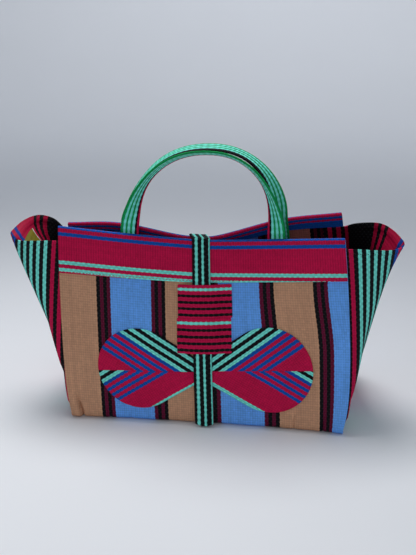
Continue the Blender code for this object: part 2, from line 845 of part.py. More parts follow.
leg_step_start = max(rear_inner_leaf) + leg_step_margin + leg_step_run


class Handle:
    """Webbing sewn inside a rim at both ends and arched above it, turning flat towards the top."""

    def __init__(self, panel, side, legs, apex, flat_from):
        self.panel = panel
        self.side = side
        self.legs = legs
        self.apex = apex
        self.flat_from = flat_from
        self.feet = [self.leg(end, 0, panel_height) for end in (0, 1)]
        spans = [(foot - apex).length for foot in self.feet]
        self.scale = sum(spans) / 2 / math.sqrt(2)

    def leg(self, end, a, height):
        """Middle of the webbing where it lies inside the panel; a grows towards the outer edge."""
        u = self.legs[end] + (a if end else -a)
        band = smooth_step((height - panel_height + leg_step_start) / leg_step_run)
        depth = body_cloth + rim_gap + (band_cloth + clearance) * band + rib_height + webbing / 2
        return self.panel(u, height) - normal_at(self.panel, u, height, self.side) * depth

    def arch(self, angle):
        foot = self.feet[0 if angle < math.pi / 2 else 1]
        level = abs(math.cos(angle)) ** (2 / arch_power)
        rise = abs(math.sin(angle)) ** (2 / arch_power)
        x = self.apex.x + (foot.x - self.apex.x) * level
        y = foot.y + (self.apex.y - foot.y) * rise
        return Vector((x, y, foot.z + (self.apex.z - foot.z) * rise))

    def arched(self, a, angle):
        step = 0.01
        along = (self.arch(angle + step) - self.arch(angle - step)).normalized()
        lateral = Vector((0, -self.side, 0))
        lateral = (lateral - along * lateral.dot(along)).normalized()
        away = lateral.cross(along) * self.side
        end = 0 if angle < math.pi / 2 else 1
        turned = min(angle, math.pi - angle) / math.radians(self.flat_from[end])
        twist = math.pi / 2 * (1 - (1 - min(turned, 1)) ** 2)
        return self.arch(angle) + (away * math.cos(twist) + lateral * math.sin(twist)) * a

    def surface(self, a, b):
        if b < leg_length:
            return self.leg(0, a, panel_height - leg_length + b)
        angle = (b - leg_length) / self.scale
        if angle > math.pi:
            return self.leg(1, a, panel_height - (angle - math.pi) * self.scale)
        above = min(angle, math.pi - angle) * self.scale
        if above > arch_blend:
            return self.arched(a, angle)
        end = 0 if angle < math.pi / 2 else 1
        upright = self.leg(end, a, panel_height + above)
        return upright.lerp(self.arched(a, max(angle, 0.02)), smooth_step(above / arch_blend))


def handle_stripes():
    """Colours from the inner to the outer edge."""
    colours = ("crimson", "black", "teal", "green", "teal", "green", "teal", "green")
    return striped(colours, (2, 2, 3.2, 2.2, 3.2, 1.8, 3.2, 2.4))


def make_handle(name, handle):
    stripes = handle_stripes()
    start = -handle_width / 2
    edges = stripe_edges(stripes, start)
    step_end = leg_length - leg_step_start + leg_step_run
    rows = [0, leg_length - leg_step_start, step_end, (step_end + leg_length) / 2]
    rows += spaced(leg_length, leg_length + math.pi * handle.scale, handle_step)
    rows += [rows[-1] + leg_length - row for row in reversed(rows[:4])]
    flat = grid_pattern(rib_columns(edges), rows, lambda a, b: colour_at(stripes, start, a))
    face = raised(handle.surface, webbing / 2)
    return sew(name, flat, face, webbing, outer_ridge=ribs(edges), inner_ridge=ribs(edges))


def build():
    for old in list(bpy.data.objects):
        bpy.data.objects.remove(old)
    make_body()
    make_band("front_band", front_panel, 1, front_inner_leaf, front_band_station)
    make_band("rear_band", rear_panel, -1, rear_inner_leaf, rear_band_station)
    left = Gusset(-1, left_hem, left_seam_tops, left_seam_slant, left_crease_starts, left_laps)
    right = Gusset(1, right_hem, right_seam_tops, right_seam_slant, right_crease_starts, right_laps)
    make_gusset("left_gusset", left)
    make_gusset("right_gusset", right)
    make_inner_patch(left)
    make_strap()
    make_loop_strip("strap_loop_upper", loop_seam + clearance / 2, loop_top, 0)
    make_loop_strip("strap_loop_lower", loop_bottom, loop_seam - clearance / 2, loop_slip)
    bow_left = Petal(-1, left_petal, left_neck)
    bow_right = Petal(1, right_petal, right_neck)
    make_petal_half("bow_left_upper", bow_left, 0, left_petal_seam, upper_petal_stripes())
    make_petal_half("bow_left_lower", bow_left, 1, left_petal_seam, lower_left_petal_stripes())
    make_petal_half("bow_right_upper", bow_right, 0, right_petal_seam, upper_petal_stripes())
    make_petal_half("bow_right_lower", bow_right, 1, right_petal_seam, lower_right_petal_stripes())
    make_handle("front_handle", Handle(front_panel, 1, front_legs, front_apex, front_flat_from))
    make_handle("rear_handle", Handle(rear_panel, -1, rear_legs, rear_apex, rear_flat_from))


build()
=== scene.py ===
"""Looks of the handmade striped tote bag: woven cloth, beaded webbing, stitches, light and camera.

Every piece of cloth is a fine flat pattern laid on its place in the bag. Its weave coordinates are the
number of the yarn, counted across the stripes, and the place along the yarns in metres.
"""

from math import acos, atan2, ceil, cos, exp, hypot, pi, radians, sin, sqrt

import bmesh
import bpy
from mathutils import Matrix, Vector


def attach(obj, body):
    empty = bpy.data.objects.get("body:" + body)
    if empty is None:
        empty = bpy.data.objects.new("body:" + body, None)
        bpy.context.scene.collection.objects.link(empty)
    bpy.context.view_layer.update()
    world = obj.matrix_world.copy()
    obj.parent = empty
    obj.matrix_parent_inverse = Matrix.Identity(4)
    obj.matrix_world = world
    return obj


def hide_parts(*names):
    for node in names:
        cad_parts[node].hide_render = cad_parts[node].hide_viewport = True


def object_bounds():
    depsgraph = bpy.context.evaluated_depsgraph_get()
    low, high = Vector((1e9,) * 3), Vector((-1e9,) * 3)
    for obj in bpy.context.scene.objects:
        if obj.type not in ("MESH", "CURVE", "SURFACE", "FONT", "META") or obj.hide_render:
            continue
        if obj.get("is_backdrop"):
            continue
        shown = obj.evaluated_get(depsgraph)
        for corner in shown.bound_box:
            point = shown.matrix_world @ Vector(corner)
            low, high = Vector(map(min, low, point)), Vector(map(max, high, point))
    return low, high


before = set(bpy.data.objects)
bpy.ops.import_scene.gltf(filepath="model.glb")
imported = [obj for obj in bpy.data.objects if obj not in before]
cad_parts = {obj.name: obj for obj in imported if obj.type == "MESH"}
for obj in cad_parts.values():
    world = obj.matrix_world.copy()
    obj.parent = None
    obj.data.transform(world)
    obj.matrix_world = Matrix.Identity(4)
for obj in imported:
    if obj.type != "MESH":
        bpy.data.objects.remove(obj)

cad_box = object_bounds()

MM = 0.001


def millimetres(*points):
    """Turns lists of given places from millimetres into metres."""
    return [tuple(value * MM for value in point) for point in points]


# Cloth and sewing
body_cloth = 1.6 * MM
gusset_cloth = 1.2 * MM
band_cloth = 1.2 * MM
applique_cloth = 1.2 * MM
webbing = 2.0 * MM
rib_height = 0.4 * MM
hem_ridge = 0.8 * MM
clearance = 0.3 * MM
edge_roundness = 0.35
sharp_angle = radians(50)
bead_relief = 0.55 * MM
valley_relief = 0.12 * MM
applique_relief = 0.15 * MM

# Body, one strip of cloth: front, base and rear
body_width = 326 * MM
panel_height = 210 * MM
base_depth = 166 * MM
base_centre = Vector((9.5 * MM, 2 * MM, 0))
centring = Vector((0.54 * MM, 1.7 * MM, 0))
fold_radius = 8 * MM
fold_arc = fold_radius * pi / 2
bulge_power = 1.3
top_narrowing = 5 * MM
corner_reach = 36 * MM
left_corner_pull = 3.5 * MM
right_corner_pull = 7 * MM
corner_power = 8
left_side_pull = 4.2 * MM
right_side_bow = 1.5 * MM
right_top_pull = 1.5 * MM

# Slack of the cloth: slow waves and, low down, fine puckers. Both drift with the height
slack_depth = 0.8 * MM
slack_wave = 31 * MM
slack_phase = 1.7
slack_drift = 2.2
slack_low = 0.12
slack_rise = 0.8
pucker_depth = 0.3 * MM
pucker_wave = 9 * MM
pucker_swing = 3
pucker_drift = 4
pucker_fade = (1.3, 1.6)

# Low ridge left of each pleat: height as a share of the pleat's depth, place and width in pleat widths
ridge_share = 0.45
ridge_shift = 3.5
ridge_width = 2.6

# Front and rear of the body. Skew shifts the top, push moves the lower left and right corners forward, and
# inner_leaf is the band inside the rim, left and right. Rims run from left to right: place across the cloth,
# distance behind the base centre, height. Pleats, in millimetres: place, lean, depth, width and reach
front_face = dict(
    side=1,
    skew=-11 * MM,
    corner_push=(4 * MM, 7 * MM),
    inner_leaf=(8 * MM, 8 * MM),
    rim=millimetres(
        (-163, -46, 217), (-88, -39, 209.5), (-12, -31, 203),
        (12, -31, 203), (84, -38, 209.5), (163, -46, 217)
    ),
    pleats=(
        (-147, -0.22, 5, 1.8, 32), (-112, 0.05, 1, 1.6, 40), (-88, 0.02, 0.7, 2.2, 34),
        (96, 0.03, 0.8, 2.2, 36), (101, 0.05, 1.6, 1.5, 26), (134, 0.04, 1.8, 1.6, 24),
    ),
)
rear_face = dict(
    side=-1,
    skew=-16 * MM,
    corner_push=(0, 0),
    inner_leaf=(6.5 * MM, 14.5 * MM),
    rim=millimetres(
        (-163, 21, 200), (-98, 3, 208.5), (-28, -15.5, 204), (-12, -17.5, 203),
        (12, -17, 203), (30, -11.5, 205.4), (94, 17.5, 216.5), (163, 34, 221.6)
    ),
    pleats=(
        (-143, -0.12, 2.4, 2.2, 32), (-60, 0.04, 0.8, 2.4, 36),
        (104, 0.04, 1, 2.2, 40), (146, 0.14, 2.6, 2, 30),
    ),
)

# Bands folded over the rims
band_leaf = 48 * MM
rim_gap = 0.5 * MM
band_bend = body_cloth / 2 + rim_gap
band_rise_left = -1.5 * MM
band_rise_right = 4.5 * MM

# Gussets, folded outward at the middle of their hem
gusset_height = 200 * MM
gusset_overhang = 3.5 * MM
gusset_foot_inset = 1.5 * MM
gusset_foot_blend = 14.3 * MM
crease_softness = 4 * MM
crease_rounding = 0.2
wing_turn_rate = 4
hem_bow = 5 * MM
hem_sag = 8.5 * MM
hem_sag_powers = (1.5, 6)
hem_depth = 6 * MM
hem_step = 0.6 * MM
hem_stitch_rise = 1.2 * MM
hem_stitches = 52
softening_steps = 4

# Each gusset. Its hem passes the fold's tip, then the given places; pairs belong to the front and rear seams
left_gusset = dict(
    side=-1,
    hem=millimetres((-229, -13, 196), (-220, 12, 203.8), (-207, 34, 205), (-187, 34, 201.5)),
    seam_tops=(195 * MM, 200 * MM),
    seam_slant=18 * MM,
    crease_starts=(48 * MM, 60 * MM),
    laps=(10 * MM, 10 * MM),
    turns=(radians(-3), radians(80)),
    broad_crimson=31 * MM,
)
right_gusset = dict(
    side=1,
    hem=millimetres((226, -2, 200.5), (213, 14, 210.3), (197, 29, 214.2), (170, 33, 212)),
    seam_tops=(200 * MM, 195 * MM),
    seam_slant=0,
    crease_starts=(32 * MM, 60 * MM),
    laps=(10 * MM, 27 * MM),
    turns=(radians(14), radians(38)),
    broad_crimson=21.5 * MM,
)

# Blank patch sewn inside the left gusset, measured from the fold and down from the hem
inner_patch_from = 4.7 * MM
inner_patch_to = 38.8 * MM
inner_patch_drop = 9 * MM
inner_patch_height = 24 * MM
inner_patch_cloth = 0.6 * MM
inner_patch_edge = 1.4 * MM
inner_patch_bump = 0.15 * MM

# Closure strap, over both rims and down the front
strap_width = 20 * MM
strap_middle = -0.8 * MM
strap_tip_height = 1.5 * MM
strap_tip_trim = 3 * MM
strap_tip_slope = 0.45
strap_kick = 3 * MM
strap_kick_length = 3 * fold_radius
strap_rear_length = 60 * MM
strap_lift = rim_gap + band_cloth + clearance
strap_colours = ("black", "teal") * 3
strap_shares = (2.6, 3.7, 4.2, 2.8, 5.7, 1.0)

# Strap loop of two strips across the closure strap
loop_colours = ("crimson", "black") * 4 + ("crimson", "teal", "crimson")
loop_shares = (2.1, 3.4, 4.3, 3.2, 4.1, 3.4, 4.4, 3.2, 4.3, 3.4, 3.7)
loop_left = -28 * MM
loop_right = 33.4 * MM
loop_slip = -1.3 * MM
loop_tilt = 0.045
loop_top = 160.4 * MM
loop_seam = 121.9 * MM
loop_bottom = 80.7 * MM
loop_ease = 1.5 * MM
loop_ramp = 13 * MM
loop_bow_ramp = 5 * MM

# Bow of two petals, each sewn from an upper and a lower half. The neck and the ends of the seam are heights.
# The stripes of each half start at its long edge: their turn in degrees and their widths in millimetres
seam_outer_end = 120 * MM
petal_arc_steps = 72
upper_colours = ("black", "teal") * 3 + ("blue", "crimson") * 4
lower_colours = ("teal",) + ("crimson", "blue") * 4 + ("teal", "black") * 2
to_the_end = 90
left_petal = dict(
    side=-1,
    centre=(-73 * MM, 57 * MM),
    half_size=(49.5 * MM, 47 * MM),
    neck=(42.5 * MM, 75.5 * MM),
    seam=(58.3 * MM, 52 * MM),
    lower_tuck=1.8 * MM,
    upper=(0, (2.1, 4.4, 4.4, 4.4, 4.2, 4.1, 4.1, 4.1, 4.1, 4.2, 4.3, 3.8, 4.1, to_the_end)),
    lower=(0, (2.4, 24.8, 3.7, 3.9, 3.7, 3.9, 3.7, 3.9, 3.7, 4.3, 4, 4, to_the_end)),
)
right_petal = dict(
    side=1,
    centre=(73.5 * MM, 63 * MM),
    half_size=(49.2 * MM, 49.5 * MM),
    neck=(42.5 * MM, 79.5 * MM),
    seam=(59 * MM, 64.8 * MM),
    lower_tuck=0,
    upper=(3, (1.4, 4.2, 4.2, 4.2, 4, 3.9, 4.1, 4, 4, 4, 4.1, 3.7, 3.9, to_the_end)),
    lower=(0, (4, 30.3, 3.9, 4.1, 3.9, 4.1, 3.9, 4.1, 3.9, 3.9, 3.9, 3.9, to_the_end)),
)

# Handles of twisted webbing, their stripes in millimetres from the inner to the outer edge
handle_colours = ("black",) + ("teal", "green") * 3
handle_widths = (4.2, 3.4, 1.9, 3.4, 1.8, 2.9, 2.4)
handle_width = 20 * MM
leg_length = 42 * MM
leg_step_start = 28 * MM
leg_step_run = 10 * MM
arch_power = 2.2
arch_blend = 22 * MM
angle_step = 0.01
front_webbing = dict(
    legs=(-82.2 * MM, 85 * MM),
    apex=Vector((4.5 * MM, -15 * MM, 301.8 * MM)),
    flat_from=(45, 45),
    full_twist=radians(67),
    inner_crimson=2.2,
)
rear_webbing = dict(
    legs=(-81.5 * MM, 89 * MM),
    apex=Vector((5.5 * MM, 8 * MM, 302.4 * MM)),
    flat_from=(45, 75),
    full_twist=radians(83),
    inner_crimson=0,
)

# Stripes
tan_width = 44 * MM
sky_width = 46.7 * MM
thin_width = 4.0 * MM
cut_tan_width = 41.7 * MM
gusset_stripe = 5.1 * MM
gusset_teal = 4.7 * MM
gusset_first_stripe = -0.3 * MM
broad_black = 32 * MM
band_stripe = 4.1 * MM
broad_band = 27.5 * MM
band_inside = (
    ("blue", 2 * MM), ("crimson", 2.4 * MM), ("blue", 3.2 * MM), ("crimson", 2.2 * MM), ("blue", 16 * MM)
)

# Lean of the front's stripes to the right: how far, from where, over what width, and where it fades upwards
stripe_lean = 5 * MM
edge_lean = 1 * MM
lean_start = -20 * MM
lean_run = 140 * MM
lean_fade = (0.4, 0.36)

# Yarns: widths across the stripes, and how far apart they dip along them
fine_yarn = 2.6 * MM
coarse_yarn = 2.5 * MM
fine_pitch = 2.8 * MM
cloth_pitch = 2.9 * MM
webbing_pitch = 3.0 * MM
edge_margin = 1e-4

# Looks of the weave: waviness of stripe edges in yarns, height of dips, painted shade of the beads (darker in
# the gaps, lighter on the crowns), gloss
edge_scallop = 0.085
edge_wander = 0.12
crown_power = 0.6
grid_power = 0.7
dip_height = 0.35
mean_height = 0.75
fine_relief_shade = 0.36
coarse_relief_shade = 0.38
dip_grey = 0.02
dip_power = 10.0
yarn_bump = 0.4 * MM
bump_strength = 0.9
yarn_roughness = 0.66
crown_roughness = -0.12
yarn_gloss = 0.1

# Unevenness of beads, streaks and faded areas, and how far each noise is stretched per yarn and per metre
bead_unevenness = 0.07
streak_unevenness = 0.16
fading_unevenness = 0.12
wander_noise = (3.7, 260.0)
streak_noise = (1.0, 14.0)
fading_noise = (0.09, 22.0)
streak_scale = 0.55
# Painted shade on the inner faces of the cloth: a reddish darkening that stands in for the shadow and red
# bounce light inside the bag; the plain one leaves the colour as it is
reverse_shade_tint = (0.72, 0.45, 0.6, 1)
unshaded_reverse = (1.0, 1.0, 1.0, 1)
even_crown = 0.5
band_crown = 0.2
fine_detail = 3.0

# Sewing thread: share of a stitch above the cloth, radius and flatness; its profile runs from end to end
stitch_share = 0.62
thread_radius = 0.3 * MM
thread_flatness = 0.8
thread_twist = 900.0
thread_unevenness = 0.3
thread_roughness = 0.6
thread_sides = 6
thread_profile = ((0.0, 0.25), (0.22, 1.0), (0.78, 1.0), (1.0, 0.25))
band_stitches = 86
band_stitch_rise = 1.5 * MM

# Steps of the cloth meshes
cloth_step = 4 * MM
row_step = 5 * MM
trim_step = 3 * MM
foot_rows = 40 * MM
fold_step = fold_arc / 5
turn_step = band_bend * pi / 6
finest_step = 0.2 * MM
normal_step = 0.4 * MM
pleat_columns = (-4, -2, 0, 2)
tolerance = 1e-6

# Linear red, green and blue of the yarns
COLOURS = {
    "crimson": (0.54, 0.004, 0.062),
    "blue": (0.001, 0.085, 0.44),
    "teal": (0.20, 0.86, 0.74),
    "black": (0.003, 0.003, 0.005),
    "tan": (0.56, 0.30, 0.18),
    "sky": (0.135, 0.38, 0.90),
    "burgundy": (0.125, 0.003, 0.030),
    "green": (0.002, 0.36, 0.09),
    "olive": (0.155, 0.125, 0.005),
    "pale": (0.45, 0.46, 0.46),
}
COARSE = ("black", "teal", "burgundy", "blue", "green")


def smooth_value(points, column, x):
    """Reads a smooth curve through the points; column picks the value that belongs to x."""
    last = len(points) - 1
    xs = [point[0] for point in points]
    ys = [point[column] for point in points]

    def slope(k):
        before, after = max(k - 1, 0), min(k + 1, last)
        return (ys[after] - ys[before]) / (xs[after] - xs[before])

    if x < xs[0]:
        return ys[0] + (x - xs[0]) * slope(0)
    if x > xs[-1]:
        return ys[-1] + (x - xs[-1]) * slope(last)
    k = 0
    while k < last - 1 and x > xs[k + 1]:
        k += 1
    step = xs[k + 1] - xs[k]
    t = (x - xs[k]) / step
    rise = slope(k) * step * t * (1 - t) ** 2 - slope(k + 1) * step * t * t * (1 - t)
    return ys[k] * (1 + 2 * t) * (1 - t) ** 2 + ys[k + 1] * t * t * (3 - 2 * t) + rise


def smooth_step(t):
    t = min(max(t, 0.0), 1.0)
    return t * t * (3 - 2 * t)


def normal_at(surface, a, b, side=1):
    across = surface(a + normal_step, b) - surface(a - normal_step, b)
    along = surface(a, b + normal_step) - surface(a, b - normal_step)
    return across.cross(along).normalized() * side


class Measured:
    """Keeps its measures under their names."""

    def __init__(self, **measures):
        vars(self).update(measures)


class Panel(Measured):
    """Outer face of the front (side 1) or rear (side -1) of the body; height is measured up the cloth."""

    def slack(self, u, height):
        """Outward unevenness of the hanging cloth."""
        v = height / panel_height
        wave = sin(u / slack_wave + slack_phase * self.side + slack_drift * v)
        out = slack_depth * wave * sin(pi * (slack_low + slack_rise * v))
        pucker = sin(u / pucker_wave + pucker_swing * sin(pucker_drift * v + self.side))
        out += pucker_depth * pucker * smooth_step(pucker_fade[0] - pucker_fade[1] * v)
        for place, lean, depth, width, reach in self.pleats:
            across = (u - place * MM - lean * height) / (width * MM)
            ridge = ridge_share * exp(-((across + ridge_shift) / ridge_width) ** 2)
            out += depth * MM * smooth_step(1 - height / (reach * MM)) * (ridge - exp(-across * across))
        return out

    def __call__(self, u, height):
        v = height / panel_height
        climb = max(v, 0.0)
        foot = -self.side * base_depth / 2
        x = u * (1 - top_narrowing / body_width * climb * climb) + self.skew * v
        y = foot + (smooth_value(self.rim, 1, u) - foot) * climb**bulge_power
        z = fold_radius + (smooth_value(self.rim, 2, u) - fold_radius) * v
        into_corner = max(0.0, (abs(u) - body_width / 2) / corner_reach + 1)
        tuck = into_corner**2 * (1 - climb) ** corner_power
        reach = (2 * u / body_width) ** 2
        if u < 0:
            x += left_corner_pull * tuck + left_side_pull * reach * (1 - climb) ** 2
        else:
            bow = right_side_bow * 4 * climb * (1 - climb)
            x += reach * (bow - right_top_pull * climb**3) - right_corner_pull * tuck
        y -= self.corner_push[u >= 0] * reach * max(0.0, 1 - climb) ** 4
        return base_centre + Vector((x, y - self.side * self.slack(u, height), z))

    def normal(self, u, height):
        return normal_at(self, u, height, self.side)

    def raised(self, u, height, lift):
        """Place above the outer face."""
        return self(u, height) + self.normal(u, height) * lift

    def up(self, u):
        """Direction up the cloth at the rim."""
        return (self(u, panel_height) - self(u, panel_height - MM)).normalized()

    def rim_turn(self, u, radius, angle):
        """Place on the round turn over the rim, angle 0 at the outer face."""
        outward = self.normal(u, panel_height)
        middle = self(u, panel_height) - outward * body_cloth / 2
        return middle + (outward * cos(angle) + self.up(u) * sin(angle)) * radius

    def level(self, u):
        """Angle at which the turn over the rim runs level."""
        return atan2(self.up(u).z, self.normal(u, panel_height).z)


front_panel = Panel(**front_face)
rear_panel = Panel(**rear_face)


def fold_point(edge, side, angle):
    """Rounded fold between a panel and the base, angle 0 at the panel."""
    inward = Vector((0, side, 0))
    return edge + inward * fold_radius * (1 - cos(angle)) - Vector((0, 0, fold_radius * sin(angle)))


def body_surface(u, s):
    """Outer face of the body strip: down the rear, along the base and up the front."""
    if s < panel_height:
        return rear_panel(u, panel_height - s)
    s -= panel_height
    rear_edge = rear_panel(u, 0)
    if s < fold_arc:
        return fold_point(rear_edge, -1, s / fold_radius)
    s -= fold_arc
    front_edge = front_panel(u, 0)
    flat = base_depth - 2 * fold_radius
    if s < flat:
        rear_foot = fold_point(rear_edge, -1, pi / 2)
        return rear_foot.lerp(fold_point(front_edge, 1, pi / 2), s / flat)
    s -= flat
    if s < fold_arc:
        return fold_point(front_edge, 1, (fold_arc - s) / fold_radius)
    return front_panel(u, s - fold_arc)


class Stripes:
    """Colours across a cloth. Each stripe is a whole number of yarns wide."""

    def __init__(self, start, widths):
        self.colours = [colour for colour, _ in widths]
        self.edges = [start]
        self.yarns = [0]
        for colour, width in widths:
            yarn = coarse_yarn if colour in COARSE else fine_yarn
            self.edges.append(self.edges[-1] + width)
            self.yarns.append(self.yarns[-1] + max(1, round(width / yarn)))

    def yarn_at(self, place):
        """Number of the yarn at a place, with its share of the next."""
        k = 0
        while k < len(self.colours) - 1 and place > self.edges[k + 1]:
            k += 1
        share = (place - self.edges[k]) / (self.edges[k + 1] - self.edges[k])
        return max(0.0, self.yarns[k] + share * (self.yarns[k + 1] - self.yarns[k]))

    def half_yarns(self):
        """Places of the yarns' edges and middles."""
        places = [self.edges[0]]
        for k in range(len(self.colours)):
            first, last = self.edges[k], self.edges[k + 1]
            halves = 2 * (self.yarns[k + 1] - self.yarns[k])
            places += [first + (last - first) * step / halves for step in range(1, halves + 1)]
        return places


def spaced(first, last, longest):
    """Even stations from first to last, none further apart than longest."""
    count = max(1, ceil(abs(last - first) / longest - tolerance))
    return [first + (last - first) * k / count for k in range(count + 1)]


def filled(edges, longest):
    """The given stations with even ones added where a step is too long."""
    stations = [edges[0]]
    for first, last in zip(edges, edges[1:]):
        stations += spaced(first, last, longest)[1:]
    return stations


def grid_pattern(columns, rows):
    """Flat cloth as a grid."""
    flat = bmesh.new()
    points = [[flat.verts.new((a, b, 0)) for a in columns] for b in rows]
    for j in range(len(rows) - 1):
        for i in range(len(columns) - 1):
            flat.faces.new((points[j][i], points[j][i + 1], points[j + 1][i + 1], points[j + 1][i]))
    return flat


def cut(flat, place, direction, discard=False):
    """Splits the cloth along a straight line."""
    parts = flat.verts[:] + flat.edges[:] + flat.faces[:]
    bmesh.ops.bisect_plane(
        flat, geom=parts, dist=tolerance, plane_co=place, plane_no=direction, clear_outer=discard
    )


def trim(flat, place, direction):
    """Cuts away the cloth beyond a straight line."""
    cut(flat, place, direction, discard=True)


def outward_directions(flat):
    """For each vertex on the cloth's outline, the flat direction that leads off the cloth."""
    leading = {}
    for edge in flat.edges:
        if edge.is_boundary:
            first, last = edge.verts
            along = last.co - first.co
            away = Vector((along.y, -along.x, 0)).normalized()
            if away.dot(edge.link_faces[0].calc_center_median() - first.co) > 0:
                away = -away
            for vert in edge.verts:
                leading[vert] = leading.get(vert, Vector((0, 0, 0))) + away
    return {vert: away.normalized() for vert, away in leading.items()}


def lengthwise(stripes):
    """Weave of a cloth whose stripes run along its second flat coordinate."""
    return lambda a, b: (stripes.yarn_at(a), b)


def crosswise(stripes):
    """Weave of a cloth whose stripes run along its first flat coordinate."""
    return lambda a, b: (stripes.yarn_at(b), a)


def sew(name, node, flat, surface, lift, thickness, weave, material, side=1, relief=None, inner=None):
    """Lays flat cloth on a surface, its outer face raised by lift, and closes it with a rounded edge.

    The piece takes the place of a solid and gets the given material.
    """
    leading = outward_directions(flat)
    places = {vert: (vert.co.x, vert.co.y) for vert in flat.verts}
    for vert, place in places.items():
        vert.co = surface(*place) + centring
    flat.normal_update()
    solid = bmesh.new()
    # Marks the inner faces, which the material darkens with the painted shade tint
    reverse_shade = solid.verts.layers.float.new("reverse_shade")
    weave_of = {}

    def add(point, a, b, inside=0.0):
        vert = solid.verts.new(point)
        vert[reverse_shade] = inside
        weave_of[vert] = weave(a, b)
        return vert

    tops, bottoms, rims = {}, {}, {}
    for vert, (a, b) in places.items():
        normal = vert.normal * side
        rise = relief(a, b) if relief else 0
        drop = inner(a, b) if inner else 0
        tops[vert] = add(vert.co + normal * (lift + rise), a, b)
        bottoms[vert] = add(vert.co + normal * (lift - thickness - drop), a, b, 1.0)
        if vert in leading:
            away = leading[vert] * thickness * edge_roundness
            edge_point = surface(a + away.x, b + away.y) + centring
            rims[vert] = add(edge_point + normal * (lift - thickness / 2), a, b)
    for face in flat.faces:
        solid.faces.new([tops[vert] for vert in face.verts])
        solid.faces.new([bottoms[vert] for vert in reversed(face.verts)])
    for edge in flat.edges:
        if edge.is_boundary:
            first, last = edge.verts
            solid.faces.new((tops[first], tops[last], rims[last], rims[first]))
            solid.faces.new((rims[first], rims[last], bottoms[last], bottoms[first]))
    bmesh.ops.recalc_face_normals(solid, faces=solid.faces[:])
    layer = solid.loops.layers.uv.new("weave")
    for face in solid.faces:
        for loop in face.loops:
            loop[layer].uv = weave_of[loop.vert]
    flat.free()
    piece = finished(name, solid, material)
    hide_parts(node)
    return piece


def placed(name, data):
    """Puts a mesh, a light or a camera in the scene."""
    made = bpy.data.objects.new(name, data)
    bpy.context.scene.collection.objects.link(made)
    return made


def shown(name, shape, material):
    """Puts a smooth shape in the scene."""
    mesh = bpy.data.meshes.new(name)
    shape.to_mesh(mesh)
    shape.free()
    mesh.materials.append(material)
    mesh.shade_smooth()
    return placed(name, mesh)


def finished(name, solid, material):
    """Turns a closed shape into a named piece that rides with the bag."""
    piece = shown(name, solid, material)
    piece.data.set_sharp_from_angle(angle=sharp_angle)
    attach(piece, "root")
    return piece


def subdivide(piece):
    smooth = piece.modifiers.new("smooth", "SUBSURF")
    smooth.levels = smooth.render_levels = 1


class Shader:
    """Writes a material's nodes as sums. Every method gives the socket that holds its result."""

    def __init__(self, name):
        self.material = bpy.data.materials.new(name)
        self.material.use_nodes = True
        self.tree = self.material.node_tree
        self.surface = self.tree.nodes["Principled BSDF"]

    def node(self, kind, **settings):
        made = self.tree.nodes.new(kind)
        for setting, value in settings.items():
            setattr(made, setting, value)
        return made

    def join(self, value, socket):
        if isinstance(value, bpy.types.NodeSocket):
            self.tree.links.new(value, socket)
        else:
            socket.default_value = value

    def joined(self, made, values, sockets, output=0):
        for value, socket in zip(values, sockets):
            self.join(value, socket)
        return made.outputs[output]

    def math(self, operation, *values):
        made = self.node("ShaderNodeMath", operation=operation)
        return self.joined(made, values, made.inputs)

    def times(self, first, second):
        return self.math("MULTIPLY", first, second)

    def linear(self, value, gain, base):
        """The value times gain, plus base."""
        return self.math("MULTIPLY_ADD", value, gain, base)

    def around_one(self, value, reach):
        """Turns a value from 0 to 1 into a factor from 1 - reach to 1 + reach."""
        return self.linear(value, 2 * reach, 1 - reach)

    def mix(self, share, first, second, blend="MIX"):
        made = self.node("ShaderNodeMix", data_type="RGBA", blend_type=blend)
        colours = [socket for socket in made.inputs if socket.type == "RGBA"]
        return self.joined(made, (share, first, second), (made.inputs[0], *colours), 2)

    def toned(self, colour, tone):
        """The colour, darker or lighter by a factor."""
        return self.mix(1.0, colour, self.grey(tone), "MULTIPLY")

    def grey(self, value):
        made = self.node("ShaderNodeCombineColor")
        return self.joined(made, (value, value, value), made.inputs)

    def vector(self, *values):
        made = self.node("ShaderNodeCombineXYZ")
        return self.joined(made, values, made.inputs)

    def noise(self, place, scale, detail=2.0):
        made = self.node("ShaderNodeTexNoise")
        sockets = [made.inputs[name] for name in ("Vector", "Scale", "Detail")]
        return self.joined(made, (place, scale, detail), sockets)

    def object_place(self):
        return self.node("ShaderNodeTexCoord").outputs["Object"]

    def finish(self, colour, roughness):
        """Gives the surface its colour and roughness."""
        self.join(colour, self.surface.inputs["Base Color"])
        self.join(roughness, self.surface.inputs["Roughness"])
        return self.material


def alternate(shader, number):
    """1 for even yarns, -1 for odd ones."""
    return shader.linear(shader.math("MODULO", number, 2.0), -2.0, 1.0)


def uneven(shader, yarn, along, stretch, scale=1.0, detail=2.0):
    """Noise over the cloth, stretched by factors per yarn and per metre along it."""
    place = shader.vector(shader.times(yarn, stretch[0]), shader.times(along, stretch[1]))
    return shader.noise(place, scale, detail)


def edge_waves(shader, yarn, along, wave):
    """The yarn number with the waviness of the stripes' edges."""
    nearest = shader.math("FLOOR", shader.math("ADD", yarn, 0.5))
    wander = uneven(shader, nearest, along, wander_noise)
    place = shader.linear(shader.times(wave, alternate(shader, nearest)), edge_scallop, yarn)
    return shader.math("ADD", place, shader.linear(wander, edge_wander, -edge_wander / 2))


def striped_colour(shader, place, stripes):
    """Colour of the stripe at a place counted in yarns."""
    colour, *others = [(*COLOURS[name], 1) for name in stripes.colours]
    for edge, following in zip(stripes.yarns[1:], others):
        colour = shader.mix(shader.math("GREATER_THAN", place, float(edge)), colour, following)
    return colour


def fine_stripes(shader, yarn, stripes):
    """1 in the stripes of fine yarn, 0 in those of coarse yarn."""
    fine = [float(name not in COARSE) for name in stripes.colours]
    value = fine[0]
    for edge, before, after in zip(stripes.yarns[1:], fine, fine[1:]):
        if after != before:
            past = shader.math("GREATER_THAN", yarn, float(edge))
            value = shader.linear(past, after - before, value)
    return value


